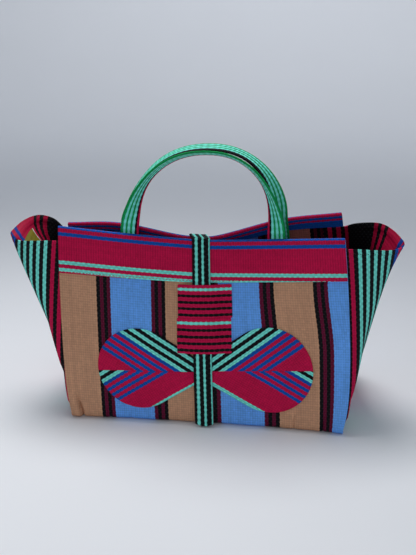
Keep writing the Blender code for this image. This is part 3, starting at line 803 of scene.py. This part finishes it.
def woven(name, stripes, pitch, across=even_crown, bump=yarn_bump, reverse_shade=reverse_shade_tint):
    """Woven plastic yarn in stripes: an even grid in the broad fields, staggered beads in thin stripes.

    Across is how much each yarn's round shape counts in the grid.
    """
    shader = Shader(name)
    coordinates = shader.node("ShaderNodeSeparateXYZ")
    shader.join(shader.node("ShaderNodeUVMap", uv_map="weave").outputs[0], coordinates.inputs[0])
    yarn, along, _ = coordinates.outputs
    is_fine = fine_stripes(shader, yarn, stripes)
    cell = shader.math("FLOOR", yarn)
    crown = shader.math("SINE", shader.times(shader.math("FRACT", yarn), pi))
    crown = shader.math("POWER", crown, crown_power)
    wave = shader.math("SINE", shader.times(along, pi / pitch))
    bead = shader.linear(shader.times(wave, alternate(shader, cell)), 0.5, 0.5)
    coarse = shader.times(crown, shader.linear(bead, 1 - dip_height, dip_height))
    grid = shader.math("ABSOLUTE", shader.math("SINE", shader.times(along, pi / fine_pitch)))
    grid = shader.times(shader.math("POWER", grid, grid_power), 1 - across)
    grid = shader.linear(crown, across, grid)
    height = shader.linear(shader.math("SUBTRACT", grid, coarse), is_fine, coarse)

    number = shader.node("ShaderNodeTexWhiteNoise", noise_dimensions="2D")
    beat = shader.math("FLOOR", shader.times(along, 1 / pitch))
    shader.join(shader.vector(cell, beat), number.inputs["Vector"])
    tone = shader.around_one(number.outputs["Value"], bead_unevenness)
    streak = uneven(shader, yarn, along, streak_noise, streak_scale, fine_detail)
    tone = shader.times(tone, shader.around_one(streak, streak_unevenness))
    fading = uneven(shader, yarn, along, fading_noise)
    tone = shader.times(tone, shader.around_one(fading, fading_unevenness))
    # Painted shade of the yarns' relief: darker in the gaps and dips, a little lighter on the crowns
    depth = shader.linear(is_fine, fine_relief_shade - coarse_relief_shade, coarse_relief_shade)
    shade = shader.times(shader.math("SUBTRACT", height, mean_height), depth)
    tone = shader.times(tone, shader.math("ADD", shade, 1.0))

    place = edge_waves(shader, yarn, along, wave)
    coloured = shader.toned(striped_colour(shader, place, stripes), tone)
    # Inner faces take the painted shade: darker and redder, in place of shadow and bounce light
    inside = shader.node("ShaderNodeAttribute", attribute_name="reverse_shade").outputs["Fac"]
    coloured = shader.mix(inside, coloured, shader.mix(1.0, coloured, reverse_shade, "MULTIPLY"))
    dip = shader.times(shader.math("POWER", shader.math("SUBTRACT", 1.0, bead), dip_power), crown)
    dip = shader.times(dip, shader.linear(is_fine, -dip_grey, dip_grey))
    coloured = shader.mix(1.0, coloured, shader.grey(dip), "ADD")

    relief = shader.node("ShaderNodeBump")
    relief.inputs["Distance"].default_value = bump
    relief.inputs["Strength"].default_value = bump_strength
    shader.join(height, relief.inputs["Height"])
    shader.join(relief.outputs[0], shader.surface.inputs["Normal"])
    shader.surface.inputs["Specular IOR Level"].default_value = yarn_gloss
    return shader.finish(coloured, shader.linear(height, crown_roughness, yarn_roughness))


def threads(name, colour):
    """Twisted sewing thread in one colour."""
    shader = Shader(name)
    twist = shader.noise(shader.object_place(), thread_twist, fine_detail)
    tone = shader.around_one(twist, thread_unevenness)
    return shader.finish(shader.toned((*COLOURS[colour], 1), tone), thread_roughness)


def stitches(name, surface, lift, line, count, colour, side):
    """A row of short threads along a line, which gives a flat place for each share from 0 to 1."""
    solid = bmesh.new()
    for k in range(count):
        first, last = line(k / count), line((k + stitch_share) / count)
        middle = ((first[0] + last[0]) / 2, (first[1] + last[1]) / 2)
        normal = normal_at(surface, *middle, side)
        start = surface(*first) + centring + normal * lift
        end = surface(*last) + centring + normal * lift
        sideways = (end - start).cross(normal).normalized()
        rings = []
        for share, size in thread_profile:
            ring = []
            for corner in range(thread_sides):
                turn = corner * 2 * pi / thread_sides
                offset = sideways * cos(turn) + normal * sin(turn) * thread_flatness
                ring.append(solid.verts.new(start.lerp(end, share) + offset * thread_radius * size))
            rings.append(ring)
        for before, after in zip(rings, rings[1:]):
            for corner in range(thread_sides):
                following = (corner + 1) % thread_sides
                solid.faces.new((before[corner], before[following], after[following], after[corner]))
        solid.faces.new(rings[0])
        solid.faces.new(rings[-1])
    bmesh.ops.recalc_face_normals(solid, faces=solid.faces[:])
    return finished(name, solid, threads(name.replace("stitches", "thread"), colour))


def body_stripes():
    """Tan and sky stripes with groups of four thin ones between, from the left edge."""
    to_sky = [("black", thin_width), ("burgundy", thin_width)] * 2
    to_tan = [("burgundy", thin_width), ("black", thin_width)] * 2
    stripes = [("tan", cut_tan_width)]
    for _ in range(2):
        stripes += to_sky + [("sky", sky_width)] + to_tan + [("tan", tan_width)]
    stripes += to_sky
    used = sum(width for _, width in stripes)
    return Stripes(-body_width / 2, stripes + [("sky", body_width - used)])


def make_body():
    stripes = body_stripes()
    pleats = [place for place, *_ in front_panel.pleats + rear_panel.pleats]
    columns = filled(stripes.edges, cloth_step)
    columns = sorted(columns + [(place + shift) * MM for place in pleats for shift in pleat_columns])
    columns = [place for k, place in enumerate(columns) if k == 0 or place - columns[k - 1] > finest_step]
    base_start = panel_height + fold_arc
    base_end = base_start + base_depth - 2 * fold_radius
    front_start = base_end + fold_arc
    length = front_start + panel_height
    rows = [0]
    for end, step in (
        (panel_height - foot_rows, row_step),
        (panel_height, trim_step),
        (base_start, fold_step),
        (base_end, 2 * row_step),
        (front_start, fold_step),
        (front_start + foot_rows, trim_step),
        (length, row_step),
    ):
        rows += spaced(rows[-1], end, step)[1:]

    def leaning(a, b):
        """The stripes on the front lean a little to the right below the band."""
        height = (b - front_start) / panel_height
        below_band = 1 - smooth_step((height - lean_fade[0]) / lean_fade[1])
        lean = stripe_lean * smooth_step((a - lean_start) / lean_run) * below_band
        lean += edge_lean * smooth_step(a / lean_run)
        return stripes.yarn_at(a - lean * smooth_step(b / base_end)), b

    flat = grid_pattern(columns, rows)
    material = woven("woven_body", stripes, cloth_pitch)
    piece = sew("body", "body_panel", flat, body_surface, 0, body_cloth, leaning, material)


def band_surface(panel):
    """Face of a band that lies on its panel: up the outside, over the rim and down the inside."""

    def surface(u, b):
        if b < band_leaf:
            return panel.raised(u, panel_height - band_leaf + b, rim_gap)
        angle = (b - band_leaf) / band_bend
        if angle < pi:
            return panel.rim_turn(u, band_bend, angle)
        return panel.raised(u, panel_height - (b - band_leaf - band_bend * pi), -(body_cloth + rim_gap))

    return surface


def band_stripes():
    """Colours across the band cloth, from its outer lower edge."""
    outside = [(colour, band_stripe) for colour in ("crimson", "teal") * 2]
    outside += [("crimson", broad_band), ("blue", band_stripe), ("crimson", band_stripe)]
    return Stripes(-band_stripe, [*outside, *band_inside])


def make_band(name, node, panel, stripes, material):
    inner_leaf = panel.inner_leaf
    turned = band_leaf + band_bend * pi
    last = turned + max(inner_leaf)
    rows = filled([edge for edge in stripes.edges if edge < band_leaf - MM] + [band_leaf], trim_step)
    rows += spaced(band_leaf, turned, turn_step)[1:]
    inside = [edge for edge in stripes.edges if turned + MM < edge < last - MM]
    rows += filled([turned] + inside + [last], trim_step)[1:]
    flat = grid_pattern(spaced(-body_width / 2, body_width / 2, cloth_step), rows)
    middle = (band_rise_right + band_rise_left) / 2
    slope = (band_rise_right - band_rise_left) / body_width
    trim(flat, (0, middle, 0), (slope, -1, 0))
    inner_slope = (inner_leaf[1] - inner_leaf[0]) / body_width
    trim(flat, (0, turned + sum(inner_leaf) / 2, 0), (-inner_slope, 1, 0))
    surface = band_surface(panel)
    weave = crosswise(stripes)
    piece = sew(name, node, flat, surface, band_cloth, band_cloth, weave, material, panel.side)

    def lower_edge(share):
        u = body_width * (share - 0.5)
        return u, middle + slope * u + band_stitch_rise

    stitches(name + "_stitches", surface, band_cloth, lower_edge, band_stitches, "crimson", panel.side)


class Gusset(Measured):
    """Side strip sewn to both panels and the base; a is measured from the fold, b up from the base."""

    def __init__(self, **measures):
        super().__init__(**measures)
        self.hem = [self.seam(1, 0), *[Vector(point) for point in self.hem], self.seam(1, 1)]
        steps = [(after - before).length for before, after in zip(self.hem, self.hem[1:])]
        self.front_half = steps[0]
        self.rear_half = sum(steps[1:])
        places = [sum(steps[:k]) for k in range(len(self.hem))]
        self.rear_curve = [(place, *point) for place, point in zip(places[1:], self.hem[1:])]

    def seam(self, rise, end, beyond=0.0):
        """Place on the front (end 0) or rear (end 1) panel's inner face, beyond the seam if asked."""
        above_foot = smooth_step(rise * gusset_height / gusset_foot_blend)
        past_edge = (gusset_overhang + gusset_foot_inset) * above_foot - gusset_foot_inset
        u = self.side * (body_width / 2 + past_edge - beyond)
        return (front_panel, rear_panel)[end].raised(u, rise * self.seam_tops[end], -(body_cloth + clearance))

    def hem_point(self, d):
        """Place on the hem. Its front half bows out, sags and rises to the tip; its rear half is a curve."""
        if d < self.front_half:
            share = d / self.front_half
            chord = self.hem[1] - self.hem[0]
            outward = Vector((chord.y, -chord.x, 0)).normalized() * self.side
            point = self.hem[0] + chord * share + outward * hem_bow * 4 * share * (1 - share)
            point.z -= hem_sag * share ** hem_sag_powers[0] * (1 - share ** hem_sag_powers[1])
            return point
        return Vector([smooth_value(self.rear_curve, column, d) for column in (1, 2, 3)])

    def wing_point(self, rise, end, share):
        """Place on a wing, a smaller copy of its half of the hem, from the seam (0) to the crease (1)."""
        size = self.crease_share(rise, end)
        half, hem_end = ((self.front_half, self.hem[0]), (-self.rear_half, self.hem[-1]))[end]
        start = (self.front_half + self.rear_half) * end
        turned = 1 - exp(-wing_turn_rate * (1 - size))
        inward = (self.turns[0], -self.turns[1])[end] * turned * self.side
        reach = (self.hem_point(start + half * share) - hem_end) * size
        return self.seam(rise, end) + Matrix.Rotation(inward, 3, "Z") @ reach

    def crease_share(self, rise, end):
        """Width of a wing as a share of its half of the hem; the crease leaves the seam above the foot."""
        start = self.crease_starts[end] / gusset_height
        return max(0.0, (rise - start) / (1 - start))

    def crease_foot(self, end):
        """Where the line of a crease in the flat cloth meets the level of the base."""
        half = (self.front_half, self.rear_half)[end]
        run = half * gusset_height / (gusset_height - self.crease_starts[end])
        return run if end else -(run + self.seam_slant)

    def folded(self, a, b):
        """Sharp-creased form: two wings parallel to the seams and a leaning middle between them."""
        rise = b / gusset_height
        d = a + self.front_half + self.seam_slant * (1 - rise)
        width = self.front_half + self.rear_half + self.seam_slant * (1 - rise)
        if d < 0:
            return self.seam(rise, 0, -d)
        if d > width:
            return self.seam(rise, 1, d - width)
        front_crease = self.front_half * self.crease_share(rise, 0)
        rear_wing = self.rear_half * self.crease_share(rise, 1)
        rear_crease = width - rear_wing
        if d < front_crease:
            return self.wing_point(rise, 0, d / front_crease)
        if d > rear_crease:
            return self.wing_point(rise, 1, (width - d) / rear_wing)
        point = self.wing_point(rise, 0, 1)
        if rear_crease <= front_crease:
            return point
        point = point.lerp(self.wing_point(rise, 1, 1), (d - front_crease) / (rear_crease - front_crease))
        point.z -= self.foot_drop(min(d, width - d)) * max(0.0, 1 - b / fold_radius)
        return point

    def foot_drop(self, from_end):
        """How far the lower edge follows the base's round fold below the seams' lower ends."""
        bend = fold_radius - body_cloth - clearance
        if from_end >= bend:
            return bend
        return sqrt(bend**2 - (bend - from_end) ** 2)

    def surface(self, a, b):
        """Outer face; its creases are softened along the cloth, more so lower down and less near a seam."""
        slant = self.seam_slant * (1 - b / gusset_height)
        from_seam = min(a + self.front_half + slant, self.rear_half - a)
        rounding = crease_rounding * (gusset_height - b)
        softness = crease_softness + max(0.0, min(rounding, from_seam - crease_softness))
        steps = range(-softening_steps, softening_steps + 1)
        places = [a + softness * step / softening_steps for step in steps]
        return sum((self.folded(place, b) for place in places), Vector()) / len(places)


def gusset_stripes(gusset):
    """Colours across the gusset cloth; the front seam's top lies in a black stripe."""

    def thin(*colours):
        return [(colour, gusset_stripe) for colour in colours]

    lap = thin("black", "crimson", "black", "crimson", "black")
    stripes = lap + thin("crimson") + [("black", 2 * gusset_stripe - gusset_teal), ("teal", gusset_teal)] * 5
    stripes += thin("black", *("blue", "crimson") * 2, "blue") + [("crimson", gusset.broad_crimson)]
    stripes += thin(*("black", "crimson") * 2) + [("black", broad_black)] + thin(*("crimson", "black") * 4)
    return Stripes(gusset_first_stripe - gusset.front_half - len(lap) * gusset_stripe, stripes)


def make_gusset(name, node, gusset):
    stripes = gusset_stripes(gusset)
    first = -(gusset.front_half + gusset.seam_slant / 2 + gusset.laps[0])
    last = gusset.rear_half + gusset.laps[1]
    edges = [edge for edge in stripes.edges if first + MM < edge < last - MM]
    hem_start = gusset_height - hem_depth
    rows = spaced(0, fold_radius, fold_radius / 4) + spaced(fold_radius, hem_start, row_step)[1:]
    rows += [hem_start + hem_step, hem_start + hem_depth / 2, gusset_height]
    flat = grid_pattern(filled([first] + edges + [last], gusset_stripe / 2), rows)
    for end in (0, 1):
        cut(flat, (0, gusset_height, 0), (gusset_height, gusset.crease_foot(end), 0))

    def hem(a, b):
        return hem_ridge if b > hem_start + hem_step / 2 else 0

    def hem_line(share):
        return first + gusset.laps[0] + share * (last - first - sum(gusset.laps)), hem_start + hem_stitch_rise

    weave = lengthwise(stripes)
    material = woven("woven_" + name, stripes, cloth_pitch)
    surface, side = gusset.surface, gusset.side
    piece = sew(name, node, flat, surface, 0, gusset_cloth, weave, material, side, inner=hem)
    stitches(name + "_stitches", surface, 0, hem_line, hem_stitches, "black", side)


def make_inner_patch(gusset):
    """Blank patch on the inner face of the left gusset's rear half, with pale turned edges."""
    top = gusset_height - inner_patch_drop
    width = inner_patch_to - inner_patch_from
    edge = ("pale", inner_patch_edge)
    stripes = Stripes(inner_patch_from, [edge, ("olive", width - 2 * inner_patch_edge), edge])
    flat = grid_pattern(filled(stripes.edges, trim_step), spaced(top - inner_patch_height, top, trim_step))
    lift = -(gusset_cloth + 2 * clearance)
    material = woven("woven_patch", stripes, fine_pitch, bump=inner_patch_bump, reverse_shade=unshaded_reverse)
    piece = sew(
        "olive_patch", "inner_patch", flat, gusset.surface, lift, inner_patch_cloth,
        lengthwise(stripes), material, gusset.side
    )


def shared(start, whole, colours, shares):
    """Stripes that fill a whole width, each by its share."""
    unit = whole / sum(shares)
    return Stripes(start, [(colour, unit * share) for colour, share in zip(colours, shares)])


def beads(stripes, weave, pitch, high, low):
    """Relief of coarse yarns that dip in turn: high on a bead, low in a dip and level at a yarn's edge."""

    def relief(a, b):
        yarn, along = weave(a, b)
        crown = abs(sin(pi * yarn))
        inside = min(yarn + edge_margin, stripes.yarns[-1] - 10 * edge_margin)
        turn = 1 - 2 * (int(inside) % 2)
        bead = 0.5 + 0.5 * turn * sin(pi * along / pitch)
        return crown * (low + (high - low) * bead)

    return relief


def strap_runs():
    """Lengths of the strap up the front, round each turn and between the rims."""
    radius = body_cloth / 2 + strap_lift + webbing
    front_run = panel_height + fold_radius - strap_tip_height
    span = (rear_panel(0, panel_height) - front_panel(0, panel_height)).length
    return front_run, radius * pi / 2, span


def strap_surface(u, b):
    """Outer face of the closure strap from its tip, up the front, over both rims and down the rear."""
    u += strap_middle
    lift = strap_lift + webbing
    radius = body_cloth / 2 + lift
    front_run, turn, span = strap_runs()
    if b < front_run:
        kick = strap_kick * smooth_step(1 - b / strap_kick_length)
        return front_panel.raised(u, b - (front_run - panel_height), lift + kick)
    b -= front_run
    front_level = front_panel.level(u)
    if b < turn:
        return front_panel.rim_turn(u, radius, front_level * b / turn)
    b -= turn
    rear_level = rear_panel.level(u)
    if b < span:
        first = front_panel.rim_turn(u, radius, front_level)
        return first.lerp(rear_panel.rim_turn(u, radius, rear_level), b / span)
    b -= span
    if b < turn:
        return rear_panel.rim_turn(u, radius, rear_level * (1 - b / turn))
    return rear_panel.raised(u, panel_height - (b - turn), lift)


def make_strap():
    stripes = shared(-strap_width / 2, strap_width, strap_colours, strap_shares)
    front_run, turn, span = strap_runs()
    length = front_run + 2 * turn + span + strap_rear_length
    rows = [k * webbing_pitch / 2 for k in range(int(length / webbing_pitch * 2) + 1)]
    flat = grid_pattern(stripes.half_yarns(), rows)
    for side in (-1, 1):
        trim(flat, (side * strap_width / 2, strap_tip_trim, 0), (side * strap_tip_slope, -1, 0))
    weave = lengthwise(stripes)
    relief = beads(stripes, weave, webbing_pitch, bead_relief, valley_relief)
    material = woven("woven_strap", stripes, webbing_pitch)
    piece = sew(
        "strap", "closure_strap", flat, strap_surface, 0, webbing, weave, material,
        relief=relief
    )
    subdivide(piece)


def loop_surface(u, b):
    """Outer face of the loop strips: on the front at their ends, arched over the closure strap between."""
    over_strap = strap_lift + webbing + rib_height + clearance
    over_bow = applique_cloth + 2 * clearance
    height = b + loop_tilt * (u - strap_middle)
    bow_top = right_petal["neck"][1] + loop_right * right_petal["half_size"][1] / right_petal["centre"][0]
    low = clearance + (over_bow - clearance) * smooth_step((bow_top - height) / loop_bow_ramp)
    arch = smooth_step((strap_width / 2 + loop_ease + loop_ramp - abs(u - strap_middle)) / loop_ramp)
    return front_panel.raised(u, height, low + (over_strap - low) * arch + applique_cloth)


def make_loop_strip(name, node, bottom, top, slip):
    stripes = shared(bottom, top - bottom, loop_colours, loop_shares)
    rows = [place for place in stripes.half_yarns() if place < top - clearance] + [top]
    flat = grid_pattern(spaced(loop_left + slip, loop_right + slip, cloth_pitch / 2), rows)
    weave = crosswise(stripes)
    relief = beads(stripes, weave, cloth_pitch, applique_relief, 0)
    material = woven("woven_" + name, stripes, cloth_pitch)
    piece = sew(
        name, node, flat, loop_surface, 0, applique_cloth, weave, material, relief=relief
    )
    subdivide(piece)


class Petal(Measured):
    """Round cloth drawn to a narrow neck under the strap; each of its long edges touches the round."""

    def __init__(self, **measures):
        super().__init__(**measures)
        self.touches = [self.touch(self.neck[1], 1), self.touch(self.neck[0], -1)]

    def round_shape(self, low):
        """Centre and half width of the upper or lower half of the round; its far side stays in place."""
        tuck = self.lower_tuck if low else 0
        return self.centre[0] + self.side * tuck, self.half_size[0] - tuck

    def on_round(self, angle):
        middle, half_width = self.round_shape(sin(angle) < 0)
        height = self.centre[1] + self.half_size[1] * sin(angle)
        return middle + half_width * cos(angle), height

    def touch(self, neck_height, end):
        """Angle at which the edge from the neck touches the round, and the neck's place."""
        neck = (strap_middle + self.side * strap_width / 2, neck_height)
        middle, half_width = self.round_shape(end < 0)
        across = (neck[0] - middle) / half_width
        up = (neck[1] - self.centre[1]) / self.half_size[1]
        turn = acos(1 / hypot(across, up))
        return atan2(up, across) - self.side * end * turn, neck

    def neck_end(self, angle, neck):
        """The edge carried on under the strap, nearly to its middle."""
        start = self.on_round(angle)
        middle = strap_middle + self.side * MM
        share = (middle - start[0]) / (neck[0] - start[0])
        return middle, start[1] + (neck[1] - start[1]) * share

    def outline(self):
        (first, upper_neck), (last, lower_neck) = self.touches
        sweep = -self.side * ((-self.side * (last - first)) % (2 * pi))
        points = [self.neck_end(first, upper_neck)]
        points += [self.on_round(first + sweep * k / petal_arc_steps) for k in range(petal_arc_steps + 1)]
        return points + [self.neck_end(last, lower_neck)]

    def inward(self, half):
        """Start of the long edge of a half, and the direction across its stripes."""
        angle, neck = self.touches[half]
        start = Vector((*self.on_round(angle), 0))
        along = (Vector((*neck, 0)) - start).normalized()
        across = Vector((-along.y, along.x, 0))
        toward = Vector((*self.centre, 0)) - start
        return start, across if across.dot(toward) > 0 else -across


def make_petal_half(end, part, petal):
    """A half of a petal, its stripes parallel to its long edge or turned from it."""
    name = f"petal_{end}_{part}"
    half = ("upper", "lower").index(part)
    turn, widths = (petal.upper, petal.lower)[half]
    stripes = striped(0, (upper_colours, lower_colours)[half], widths)
    start, across = petal.inward(half)
    turned = Matrix.Rotation(radians(turn), 3, "Z")
    pivot = Vector((*petal.centre, 0))
    start = pivot + turned @ (start - pivot)
    across = turned @ across
    along = Vector((-across.y, across.x, 0))
    cloth = bmesh.new()
    cloth.faces.new([cloth.verts.new((a, b, 0)) for a, b in petal.outline()])
    reach = 2 * max(petal.half_size)
    for place in filled([edge for edge in stripes.edges[1:] if edge < reach], cloth_step):
        cut(cloth, start + across * place, across)
    for place in spaced(-reach, reach, cloth_step):
        cut(cloth, start + along * place, along)
    inner_end = Vector((strap_middle, petal.seam[0], 0))
    outer_end = Vector((petal.side * seam_outer_end, petal.seam[1], 0))
    seam_along = (outer_end - inner_end).normalized()
    down = Vector((seam_along.y, -seam_along.x, 0)) * petal.side * (1, -1)[half]
    trim(cloth, inner_end - down * clearance / 2, down)

    def weave(a, b):
        point = Vector((a, b, 0)) - start
        return stripes.yarn_at(point.dot(across)), point.dot(along)

    area = sum(face.calc_area() for face in cloth.faces)
    material = woven("woven_" + name, stripes, cloth_pitch)
    lift = clearance + applique_cloth
    piece = sew(
        name, f"bow_{end}_{part}", cloth, front_panel, lift, applique_cloth, weave,
        material, -petal.side
    )


def striped(start, colours, widths):
    """Stripes with widths given in millimetres."""
    return Stripes(start, [(colour, width * MM) for colour, width in zip(colours, widths)])


class Handle(Measured):
    """Webbing sewn inside a rim at both ends and arched above it, turning flat towards the top."""

    def __init__(self, **measures):
        super().__init__(**measures)
        self.feet = [self.leg(end, 0, panel_height) for end in (0, 1)]
        spans = [(foot - self.apex).length for foot in self.feet]
        self.scale = sum(spans) / 2 / sqrt(2)

    def leg(self, end, a, height):
        """Middle of the webbing where it lies inside the panel; a grows towards the outer edge."""
        u = self.legs[end] + (a if end else -a)
        band = smooth_step((height - panel_height + leg_step_start) / leg_step_run)
        depth = body_cloth + rim_gap + (band_cloth + clearance) * band + rib_height + webbing / 2
        return self.panel.raised(u, height, -depth)

    def end(self, angle):
        return 0 if angle < pi / 2 else 1

    def arch(self, angle):
        foot = self.feet[self.end(angle)]
        level = abs(cos(angle)) ** (2 / arch_power)
        rise = abs(sin(angle)) ** (2 / arch_power)
        x = self.apex.x + (foot.x - self.apex.x) * level
        y = foot.y + (self.apex.y - foot.y) * rise
        return Vector((x, y, foot.z + (self.apex.z - foot.z) * rise))

    def arched(self, a, angle):
        along = (self.arch(angle + angle_step) - self.arch(angle - angle_step)).normalized()
        lateral = Vector((0, -self.panel.side, 0))
        lateral = (lateral - along * lateral.dot(along)).normalized()
        away = lateral.cross(along) * self.panel.side
        turned = min(angle, pi - angle) / radians(self.flat_from[self.end(angle)])
        twist = self.full_twist * (1 - (1 - min(turned, 1)) ** 2)
        return self.arch(angle) + (away * cos(twist) + lateral * sin(twist)) * a

    def surface(self, a, b):
        if b < leg_length:
            return self.leg(0, a, panel_height - leg_length + b)
        angle = (b - leg_length) / self.scale
        if angle > pi:
            return self.leg(1, a, panel_height - (angle - pi) * self.scale)
        above = min(angle, pi - angle) * self.scale
        if above > arch_blend:
            return self.arched(a, angle)
        upright = self.leg(self.end(angle), a, panel_height + above)
        return upright.lerp(self.arched(a, max(angle, 2 * angle_step)), smooth_step(above / arch_blend))


def handle_stripes(crimson):
    """Colours across the webbing; the inner edge is crimson for a given width, or else black."""
    black, *others = handle_widths
    if crimson:
        return striped(-handle_width / 2, ("crimson", *handle_colours), (crimson, black - crimson, *others))
    return striped(-handle_width / 2, handle_colours, handle_widths)


def make_handle(name, node, handle):
    stripes = handle_stripes(handle.inner_crimson)
    length = 2 * leg_length + pi * handle.scale
    flat = grid_pattern(stripes.half_yarns(), spaced(0, length, webbing_pitch / 2))
    weave = lengthwise(stripes)
    relief = beads(stripes, weave, webbing_pitch, bead_relief, valley_relief)
    material = woven("woven_" + name, stripes, webbing_pitch, reverse_shade=unshaded_reverse)
    piece = sew(
        name, node, flat, handle.surface, webbing / 2, webbing, weave, material,
        relief=relief, inner=relief
    )
    subdivide(piece)


def make_bag():
    make_body()
    stripes = band_stripes()
    material = woven("woven_band", stripes, cloth_pitch, across=band_crown)
    make_band("front_rim_band", "front_band", front_panel, stripes, material)
    make_band("rear_rim_band", "rear_band", rear_panel, stripes, material)
    left = Gusset(**left_gusset)
    make_gusset("left_side", "left_gusset", left)
    make_gusset("right_side", "right_gusset", Gusset(**right_gusset))
    make_inner_patch(left)
    make_strap()
    make_loop_strip("loop_upper", "strap_loop_upper", loop_seam + clearance / 2, loop_top, 0)
    make_loop_strip("loop_lower", "strap_loop_lower", loop_bottom, loop_seam - clearance / 2, loop_slip)
    for end, measures in (("left", left_petal), ("right", right_petal)):
        for part in ("upper", "lower"):
            make_petal_half(end, part, Petal(**measures))
    make_handle("front_carrying_handle", "front_handle", Handle(panel=front_panel, **front_webbing))
    make_handle("rear_carrying_handle", "rear_handle", Handle(panel=rear_panel, **rear_webbing))


# Camera, as far away and as high as in the photograph
camera_place = Vector((0.1483, -1.1853, 0.6081))
camera_azimuth = radians(7)
camera_pitch = radians(21)
camera_roll = radians(0.2)
camera_lens = 71.35
camera_sensor = 36

# Floor that curves up into a backdrop behind the bag
floor_front = -2.4
floor_back = 1.3
floor_half_width = 3.5
sweep_radius = 1.2
sweep_steps = 24
wall_top = 4.5
floor_colour = (0.80, 0.82, 0.86, 1)
floor_unevenness = 0.02
floor_mottle = 3.0
floor_roughness = 0.9

# Soft lights, one from above and a little behind, one from the front and one on the wall:
# place, aim, size, power, colour and spread
LIGHTS = {
    "above": ((-0.25, 0.42, 1.5), (-0.1, -0.3, 0), 0.7, 3.3, (1, 0.99, 0.97), 75),
    "front": ((0.3, -1.9, 0.9), (0, 0, 0.1), 1.4, 3, (1, 0.99, 0.98), 180),
    "wall": ((0, 0.9, 2.4), (0, 2.6, 1), 1.2, 12, (0.97, 0.98, 1), 112),
}
surrounding_colour = (0.86, 0.92, 1.0, 1)
surrounding_strength = 0.36


def looking(place, back):
    """Stands a camera or a light at a place with its back to a direction."""
    return Matrix.Translation(place) @ back.to_track_quat("Z", "Y").to_matrix().to_4x4()


def make_camera():
    data = bpy.data.cameras.new("camera")
    data.lens = camera_lens
    data.sensor_width = camera_sensor
    camera = placed("camera", data)
    level = cos(camera_pitch)
    back = Vector((sin(camera_azimuth) * level, -cos(camera_azimuth) * level, sin(camera_pitch)))
    camera.matrix_world = looking(camera_place, back) @ Matrix.Rotation(camera_roll, 4, "Z")
    bpy.context.scene.camera = camera


def make_floor():
    """Pale matt sweep, flat under the bag."""
    profile = [(floor_front, 0.0), (floor_back, 0.0)]
    for turn in spaced(0, pi / 2, pi / 2 / sweep_steps)[1:]:
        profile.append((floor_back + sweep_radius * sin(turn), sweep_radius * (1 - cos(turn))))
    profile.append((floor_back + sweep_radius, wall_top))
    sheet = bmesh.new()
    rows = [[sheet.verts.new((x, y, z)) for x in (-floor_half_width, floor_half_width)] for y, z in profile]
    for before, after in zip(rows, rows[1:]):
        sheet.faces.new((before[0], before[1], after[1], after[0]))
    shader = Shader("pale_floor")
    tone = shader.around_one(shader.noise(shader.object_place(), floor_mottle), floor_unevenness)
    floor = shown("floor", sheet, shader.finish(shader.toned(floor_colour, tone), floor_roughness))
    floor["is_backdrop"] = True


def make_light():
    """An even surrounding light and the soft lights."""
    world = bpy.data.worlds.new("studio")
    world.use_nodes = True
    background = world.node_tree.nodes["Background"]
    background.inputs["Color"].default_value = surrounding_colour
    background.inputs["Strength"].default_value = surrounding_strength
    bpy.context.scene.world = world
    for name, (place, aim, size, power, colour, spread) in LIGHTS.items():
        data = bpy.data.lights.new(name, "AREA")
        data.size = size
        data.energy = power
        data.color = colour
        data.spread = radians(spread)
        placed(name, data).matrix_world = looking(place, Vector(place) - Vector(aim))
    bpy.context.scene.view_settings.view_transform = "Standard"


make_bag()
make_floor()
make_light()
make_camera()
[[list(corner) for corner in box] for box in (cad_box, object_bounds())]
